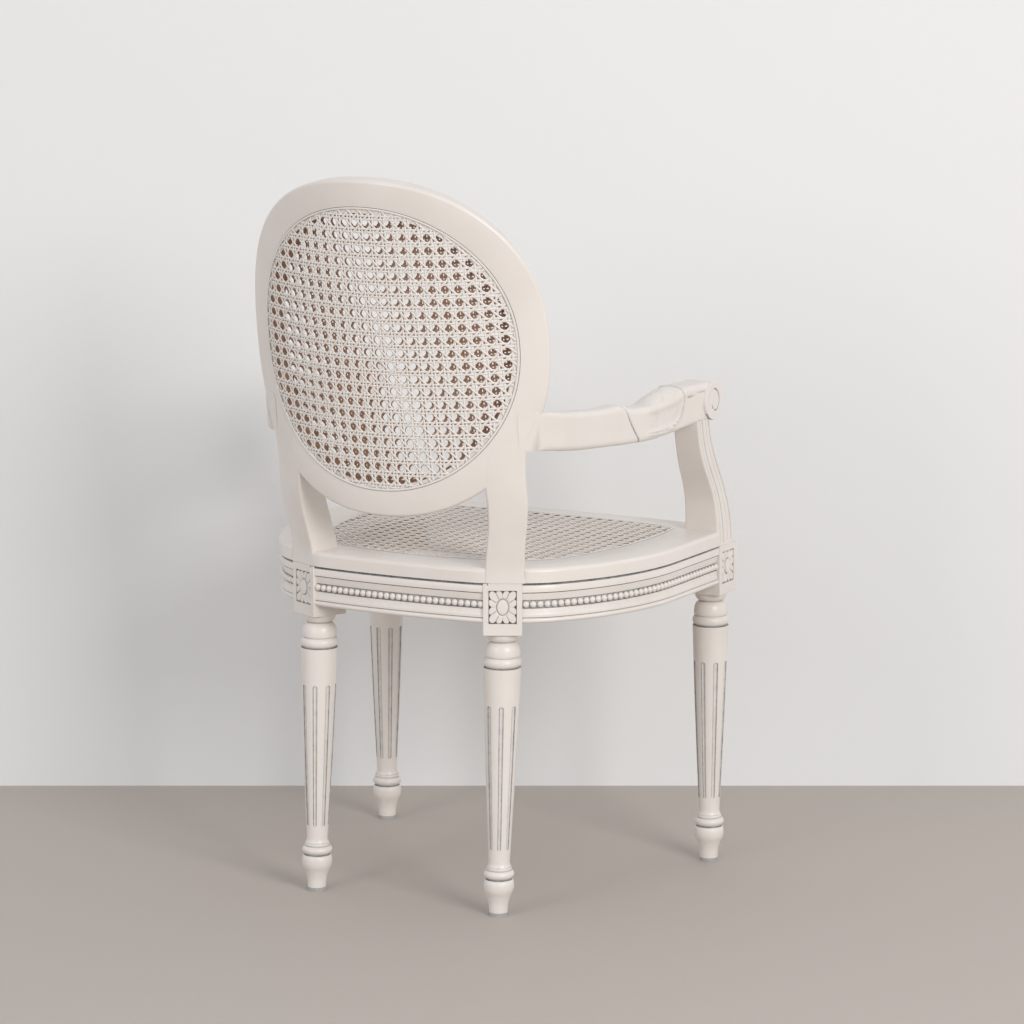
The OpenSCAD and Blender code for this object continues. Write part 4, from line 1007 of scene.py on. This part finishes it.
def weave(net, inside):
    # strands as (points in the net's plane, height above it); pairs upright and level, single diagonals.
    # Places are counted in spacings from a hole's centre, so the pairs cross halfway between.
    look, lift = weaveLook, weaveLook["lift"]
    across = net["across"] * np.array(cosSin(net["rowTilt"]))
    up = net["up"] * np.array(cosSin(net["columnTilt"] + 90))
    offset = (look["strandWidth"] + look["pairGap"]) / 2
    n = int(net["span"] / net["across"]) + 5
    strands = []

    def addStrand(start, end, height):
        start, end = np.array(start, float), np.array(end, float)
        count = int(np.max(np.abs(end - start)) * look["steps"]) + 1
        places = start + (end - start) * np.linspace(0, 1, count)[:, None]
        flat = np.array(net["hole"]) + places[:, :1] * across + places[:, 1:] * up
        flat[:, 0] += net["spread"] * np.maximum(places[:, 0], 0) ** 2
        ok = np.nonzero(inside(flat))[0]
        if len(ok) > look["steps"] // 2:
            kept = slice(ok[0], ok[-1] + 1)
            strands.append((flat[kept], lift * height(places[kept])))

    for middle in np.arange(-n, n + 1) + 0.5:
        for side in (-1, 1):
            # over one and under the other strand of each pair that it crosses
            at = middle + side * offset / net["across"]
            addStrand((at, -n), (at, n), lambda q, s=side: pairHeight(s, q[:, 1]))
            at = middle + side * offset / net["up"]
            addStrand((-n, at), (n, at), lambda q, s=side: pairHeight(-s, q[:, 0]))
    for middle in np.arange(-2 * n, 2 * n + 1) + 0.5:
        # one diagonal runs over the upright pairs and under the level ones, the other the other way
        addStrand((-n, -n - middle), (n, n - middle), lambda q: diagonalHeight(-1, q[:, 0]))
        addStrand((-n, n - middle), (n, -n - middle), lambda q: diagonalHeight(1, q[:, 0]))
    return strands


def caneNet(name, node, strands, place):
    # place(points, height) gives each strand's points in space and the outward normals
    points, edges, outward = [], [], []
    for flat, height in strands:
        at, out = place(flat, height)
        edges.extend([(len(points) + i, len(points) + i + 1) for i in range(len(at) - 1)])
        points.extend(at.tolist())
        outward.extend(out.tolist())
    piece = outwardPiece(name, points, edges, outward)
    throughTree(piece, caneStrandTree, {"Half Width": weaveLook["strandWidth"] / 2,
                                        "Half Thickness": weaveLook["strandThick"] / 2})
    print(name, len(piece.data.polygons), "faces")
    settle(piece, [node])


def insideBack(points):
    a, b = backLook["openHalfWidth"] - weaveLook["margin"], backLook["openHalfHeight"] - weaveLook["margin"]
    n = backLook["openRoundness"]
    return (np.abs(points[:, 0]) / a) ** n + (np.abs(points[:, 1]) / b) ** n < 1


def insideSeat(points):
    x, y = (points + seatShift - seatMiddle).T
    return np.hypot(x, y) < openingReach(-weaveLook["margin"], np.arctan2(x, y))


def onBack(depth, way):
    # depth of the net's middle; way -1 faces the rear, +1 the front
    def place(flat, height):
        u, v = flat.T
        out = way * (backPoint(u, v, depth + 1) - backPoint(u, v, depth))
        return backPoint(u, v, depth + way * height), out
    return place


def onSeat(flat, height):
    at = np.column_stack([flat + seatShift, plan["seatTop"] - weaveLook["seatDepth"] + height])
    return at, np.tile([0.0, 0.0, 1.0], (len(flat), 1))


caneStrandTree = strandTree()
backDepth = weaveLook["backDepth"]
caneNet("backCaneOuter", "back_cane_outer", weave(netLook["outer"], insideBack), onBack(backDepth, -1))
caneNet("backCaneInner", "back_cane_inner", weave(netLook["inner"], insideBack),
        onBack(backLook["thickness"] - backDepth, 1))
caneNet("seatCane", "seat_cane", weave(netLook["seat"], insideSeat), onSeat)
print("cane woven")


# Arms with a leaf and a scroll

armLook = {"rearX": 202.0, "frontX": 267.6, "rearY": 176.0, "scrollY": 193.5, "scrollTop": 694.0,
           "scrollRadius": 26.5, "handWidth": 44.0, "endLength": 40.0, "endRound": 10.0, "endProud": 0.2,
           "edgeRound": 8, "scrollEdge": 1.0,
           "carvedHeight": 54, "leafStart": 171, "leafLean": 34, "leafFormed": (206, 232), "leafProud": 0.9,
           "hollowDepth": 2.0, "rimHeight": 1.7, "rollStart": (303, 312), "rollDepth": 1.0,
           "ribHeight": 0.7, "ribWave": 6.0,
           "spiralStart": 75.6, "spiralReach": 0.62, "spiralDepth": 1.2, "buttonHeight": 0.3}
armLength = armLook["rearY"] + armLook["scrollY"]
# place along, share outwards, top in the middle, top at the sides, underside, width
armTable = [
    [0, -0.02, 695, 695, 641.5, 29], [29, 0.16, 691.5, 691.5, 639, 29], [72, 0.3, 687.5, 687.5, 635.2, 29],
    [116, 0.41, 684.5, 684.5, 632.5, 29], [145, 0.48, 684.5, 683.5, 631, 29],
    [160, 0.52, 685.5, 683.5, 630.2, 29.5], [171, 0.55, 683, 681.5, 629.7, 30],
    [184, 0.58, 678.5, 678, 629.2, 31], [204, 0.62, 676, 675.5, 629, 32],
    [218, 0.655, 675.8, 675.3, 629.2, 34], [230, 0.68, 677.5, 675.5, 629.6, 35.5],
    [245, 0.71, 683.8, 677, 630.5, 37], [258, 0.73, 688.6, 678.8, 631.3, 39],
    [272, 0.76, 692, 680.8, 632.5, 40.5], [286, 0.79, 693.6, 683.4, 634, 41.5],
    [296, 0.81, 694, 687.5, 635, 42.2], [303, 0.83, 694, 691.5, 635.8, 42.8],
    [312, 0.85, 694, 693, 636.8, 43], [340, 0.92, 694, 694, 639, 43.4], [369.5, 1, 694, 694, 641, 43.4],
]
# the leaf's front rim, as places along at shares of the height, and the scroll's line as shares at places
leafRim = [(0.0, 262), (0.2, 276), (0.27, 285), (0.36, 292), (0.58, 298), (0.8, 301), (1.0, 300)]
rollLine = [(300, 0.74), (330, 0.785), (360, 0.8)]


def armCarving(s, share, overTop):
    # height and recess at place s; share 0 at the underside, 1 at the top; overTop 0 on a side, 1 mid-top
    look = armLook
    deep, (formStart, formEnd) = look["carvedHeight"], look["leafFormed"]
    back = look["leafStart"] + look["leafLean"] * (1 - share) ** 1.2 - 4 * overTop
    toBack, toRim = s - back, np.interp(share, *np.transpose(leafRim)) - s
    # the hollow panel inside the leaf is bounded by its rim in front and by a line above the underside
    low = (share - 0.19) * deep
    inPanel = -np.log(np.exp(-toRim / 3) + np.exp(-low / 3) + 1e-9) * 3
    formed = smoothStep(formStart, formEnd, s)
    height = look["leafProud"] * smoothStep(-0.3, 2.2, toBack) * smoothStep(-0.3, 2.0, toRim)
    height -= look["hollowDepth"] * smoothStep(1, 10, inPanel) * formed * smoothStep(0.9, 0.7, share)
    height += look["rimHeight"] * formed * np.exp(-((inPanel + 1.2) / 1.7) ** 2)
    height -= 0.9 * np.exp(-((toBack + 0.4) / 0.8) ** 2)
    roll = np.abs(share - np.interp(s, *np.transpose(rollLine))) * deep
    rollStart, rollFull = look["rollStart"]
    onRoll = smoothStep(rollStart, rollFull, s) * (1 - overTop)
    height -= look["rollDepth"] * onRoll * np.exp(-(roll / 1.1) ** 2)
    recess = (0.6 + 0.6 * smoothStep(0.95, 0.6, share)) * np.exp(-((toBack + 0.4) / 1.1) ** 2)
    # painted shade: the leaf's hollow panel is darkened, most in a band just inside its rim
    recess += 0.5 * formed * np.exp(-((inPanel - 1.0) / 1.6) ** 2)
    recess += 0.2 * formed * smoothStep(0, 5, inPanel)
    recess += 0.8 * onRoll * np.exp(-(roll / 1.2) ** 2)
    ribbed = overTop * smoothStep(formStart, formEnd - 2, s) * smoothStep(rollStart, rollStart - 7, s)
    ribs = look["ribHeight"] * ribbed * np.cos((s - look["leafStart"]) / look["ribWave"])
    return height + ribs, np.clip(recess, 0, 1)


def backFaceY(x, z):
    # place of the back's rear face, at a distance from the centre line and a height
    bow = backLook["radius"] - np.sqrt(backLook["radius"] ** 2 - x ** 2)
    v = (z - backLook["z"] - bow * rakeSin) / rakeCos
    return backLook["y"] - bow * rakeCos + v * rakeSin


def scrollRelief(radius, angle):
    # spiral groove that starts on top, runs down in front and turns in below; 0 points to the rear, 90 up
    r = armLook["scrollRadius"]
    turned = ((angle - math.radians(armLook["spiralStart"])) % (2 * math.pi)) / (2 * math.pi)
    groove = r * (armLook["spiralReach"] - 0.05 * turned - 1.2 * np.maximum(0, turned - 0.45))
    run = smoothStep(0.72, 0.66, turned)
    dark = run * np.exp(-((radius - groove) / 1.15) ** 2)
    faint = 0.3 * (1 - run) * np.exp(-(radius - 0.66 * r) ** 2)
    swell = armLook["buttonHeight"] * math.exp(-(radius / (r * 0.5)) ** 4)
    return swell - armLook["spiralDepth"] * (dark + faint / 2), np.minimum(1.0, dark + faint)


def scrollDrum():
    # a drum with a carved spiral on each end: rings of points and their recess
    r, halfWidth, soft = armLook["scrollRadius"], armLook["handWidth"] / 2, armLook["scrollEdge"]
    a = np.linspace(0, 2 * math.pi, 121)[:-1]
    rows = [(radius, *scrollRelief(radius, a)) for radius in np.linspace(0.4, r - soft, 60)]
    # painted shade on the drum's rim, low towards the rear where it meets the arm; a faint tone on the rest
    # of the rim
    under = np.where((a > 1.55 * math.pi) & (a < 1.8 * math.pi), 0.75, 0.1)
    edge = arcRows((r - soft, -soft), (soft, soft), 90, 0, 5)[1:]
    rows += [(radius, 0 * a + out, under) for radius, out, _ in edge]
    side = np.array([np.stack([halfWidth + out, radius * np.cos(a), radius * np.sin(a)], -1)
                     for radius, out, _ in rows])
    tone = np.array([mark for _, _, mark in rows])
    centre = np.array([armLook["frontX"], -armLook["scrollY"], armLook["scrollTop"] - r])
    return np.concatenate([side * [-1, 1, 1], side[::-1]]) + centre, np.concatenate([tone, tone[::-1]])


def buildArm():
    look, turn = armLook, armLook["endRound"]
    places = [*np.linspace(0, turn, 10), *np.linspace(turn + 3, 165, 30), *np.linspace(166, armLength, 190)]
    rings, recess = [], []
    for s in places:
        shareOut, top, sideTop, low, width = along(armTable, s)
        x = look["rearX"] + (look["frontX"] - look["rearX"]) * shareOut
        outline, normals = roundRect(width, top - low, look["edgeRound"], 14, 6)
        away = np.abs(outline[:, 0]) / (width / 2)
        share = np.clip((outline[:, 1] + (top - low) / 2) / (top - low), 0, 1)
        overTop = np.clip(1 - away, 0, 1) * (share > 0.9)
        carved = (share >= 0.02) * smoothStep(armLength, armLength - 5, s)
        lift, mask = [carved * part for part in armCarving(s, share, overTop)]
        q = outline + normals * lift[:, None]
        # the rear end lies flush with the back's rear face, with its outer edge rounded
        q[:, 0] -= 0.4 * turn * (1 - math.sqrt(1 - max(0, 1 - s / turn) ** 2)) * (outline[:, 0] > 0)
        # the top falls off towards both sides
        height = (top + low) / 2 + q[:, 1] - (top - sideTop) * away ** 2 * share
        flush = backFaceY(x + q[:, 0], height) + look["endProud"] - look["rearY"]
        place = look["rearY"] - s + flush * max(0, 1 - s / look["endLength"])
        rings.append(np.column_stack([x + q[:, 0], place, height]))
        recess.append(mask)
    return Build().sweep(rings, recess).sweep(*scrollDrum())


# Arm supports: swept back from the front leg up into the arm, reeded in front and outside

supportLook = {"top": 644.0, "inset": 1.6, "edgeRound": 2.2, "reedDepth": 1.2, "reedTone": 0.85,
               "footSink": 0.7}
# share of the height, front, rear, width
supportTable = [
    [-0.12, -264, -213.8, 51.5], [0, -262, -213.5, 51], [0.14, -255.5, -209.5, 49.5],
    [0.285, -246, -202.8, 47], [0.435, -233.5, -189.5, 43.8], [0.555, -221, -176.5, 41.5],
    [0.69, -207.5, -164.5, 39.5], [0.83, -195.5, -155.5, 38.3], [1, -185.5, -149, 38],
]
# reeds: place of each groove as a share of the face, from its middle, and depth
sideReeds = [(0.34, 0.55), (0.14, 1.0), (-0.13, 0.5), (-0.37, 1.0)]
frontReeds = [(-0.24, 1.0), (0.0, 1.0), (0.24, 1.0)]


def buildSupport():
    look, low = supportLook, plan["seatTop"]
    rise, footX = look["top"] - low, plan["frontX"] - look["inset"]
    first = (plan["railTop"] - look["footSink"] - low) / rise
    rings, recess = [], []
    for h in np.linspace(first, 1, 100):
        front, rear, width = along(supportTable, h)
        outline, normals = roundRect(width, rear - front, look["edgeRound"], 44, 4)
        faces = ((normals[:, 0] > 0.9, outline[:, 1], rear - front, sideReeds),
                 (normals[:, 1] < -0.9, outline[:, 0], width, frontReeds))
        depth = sum(onFace * share * np.exp(-(places - spot * size) ** 2)
                    for onFace, places, size, reeds in faces for spot, share in reeds)
        reach = smoothStep(first + 0.012, first + 0.03, h)
        q = outline - normals * (look["reedDepth"] * depth * reach)[:, None]
        x = footX + (armLook["frontX"] - footX) * max(h, 0)
        rings.append(np.column_stack([x + q[:, 0], (front + rear) / 2 + q[:, 1], 0 * depth + low + rise * h]))
        recess.append(look["reedTone"] * np.clip(depth, 0, 1) * reach)
    return Build().sweep(rings, recess)


bothSides(buildArm(), "arm", "arm")
bothSides(buildSupport(), "armSupport", "arm_support")
print("arms made")


# Floor, wall, light and camera

viewLook = {"place": (-2.88752, 5.2287, 1.55676), "azimuth": 208.2665, "down": 9.87466, "lens": 154.38,
            "sensor": 36, "farEnd": 60}
roomLook = {
    "wall": colour(231, 231, 230), "wallRoughness": 0.9, "wallDistance": 6.514, "wallSize": (6.0, 4.0),
    "floor": colour(184, 176, 168), "floorRoughness": 0.6, "floorShine": 0.2, "floorReach": 12,
    "sky": (0.93, 0.95, 1.0, 1), "skyStrength": 0.7, "lampAim": 0.5,
}
lampLooks = {
    "keyRight": {"place": (-4.6, 2.6, 2.6), "size": 2.0, "power": 152, "tone": (1.0, 0.985, 0.97)},
    "keyLeft": {"place": (1.2, 5.2, 2.4), "size": 1.8, "power": 48, "tone": (1.0, 0.99, 0.98)},
}


def flatPlane(name, corners, material):
    mesh = bpy.data.meshes.new(name)
    mesh.from_pydata(corners, [], [tuple(range(len(corners)))])
    mesh.materials.append(material)
    newObject(name, mesh)


def makeCamera():
    camera = newObject("camera", bpy.data.cameras.new("camera"))
    camera.location = viewLook["place"]
    camera.rotation_euler = (math.radians(90 - viewLook["down"]), 0, math.radians(viewLook["azimuth"]))
    camera.data.lens = viewLook["lens"]
    camera.data.sensor_width = viewLook["sensor"]
    camera.data.clip_end = viewLook["farEnd"]
    bpy.context.scene.camera = camera


def softLamp(name, look):
    lamp = bpy.data.lights.new(name, "AREA")
    lamp.size = look["size"]
    lamp.energy = look["power"]
    lamp.color = look["tone"]
    holder = newObject(name, lamp)
    holder.location = look["place"]
    toChair = Vector((0, 0, roomLook["lampAim"])) - Vector(look["place"])
    holder.rotation_euler = toChair.to_track_quat("-Z", "Y").to_euler()


def makeFloor():
    material, _, shader = newMaterial("floorPaint", roomLook["floorRoughness"])
    shader.inputs["Base Color"].default_value = roomLook["floor"]
    shader.inputs["Specular IOR Level"].default_value = roomLook["floorShine"]
    far = roomLook["floorReach"]
    flatPlane("floor", [(-far, -far, 0), (far, -far, 0), (far, far, 0), (-far, far, 0)], material)


def makeWall():
    # square to the view, and seen through from behind
    material, tree, shader = newMaterial("wallPaint", roomLook["wallRoughness"])
    shader.inputs["Base Color"].default_value = roomLook["wall"]
    shader.inputs["Specular IOR Level"].default_value = 0.0
    clear = tree.nodes.new("ShaderNodeBsdfTransparent").outputs[0]
    behind = tree.nodes.new("ShaderNodeNewGeometry").outputs["Backfacing"]
    mix = addNode(tree, "ShaderNodeMixShader", {0: behind, 1: shader.outputs[0], 2: clear})
    tree.links.new(mix.outputs[0], tree.nodes["Material Output"].inputs["Surface"])
    wide, tall = roomLook["wallSize"]
    c, s = cosSin(viewLook["azimuth"])
    across = np.array([c, s, 0])
    foot = np.array([*viewLook["place"][:2], 0]) + np.array([-s, c, 0]) * roomLook["wallDistance"]
    corners = [foot + across * u + [0, 0, z] for u, z in ((-wide, 0), (wide, 0), (wide, tall), (-wide, tall))]
    flatPlane("wall", [tuple(p) for p in corners], material)


makeCamera()
makeFloor()
makeWall()
for name, look in lampLooks.items():
    softLamp(name, look)
world = bpy.data.worlds.new("studio")
bpy.context.scene.world = world
world.use_nodes = True
world.node_tree.nodes["Background"].inputs["Color"].default_value = roomLook["sky"]
world.node_tree.nodes["Background"].inputs["Strength"].default_value = roomLook["skyStrength"]
bpy.context.scene.view_settings.view_transform = "Standard"
print("stage set")
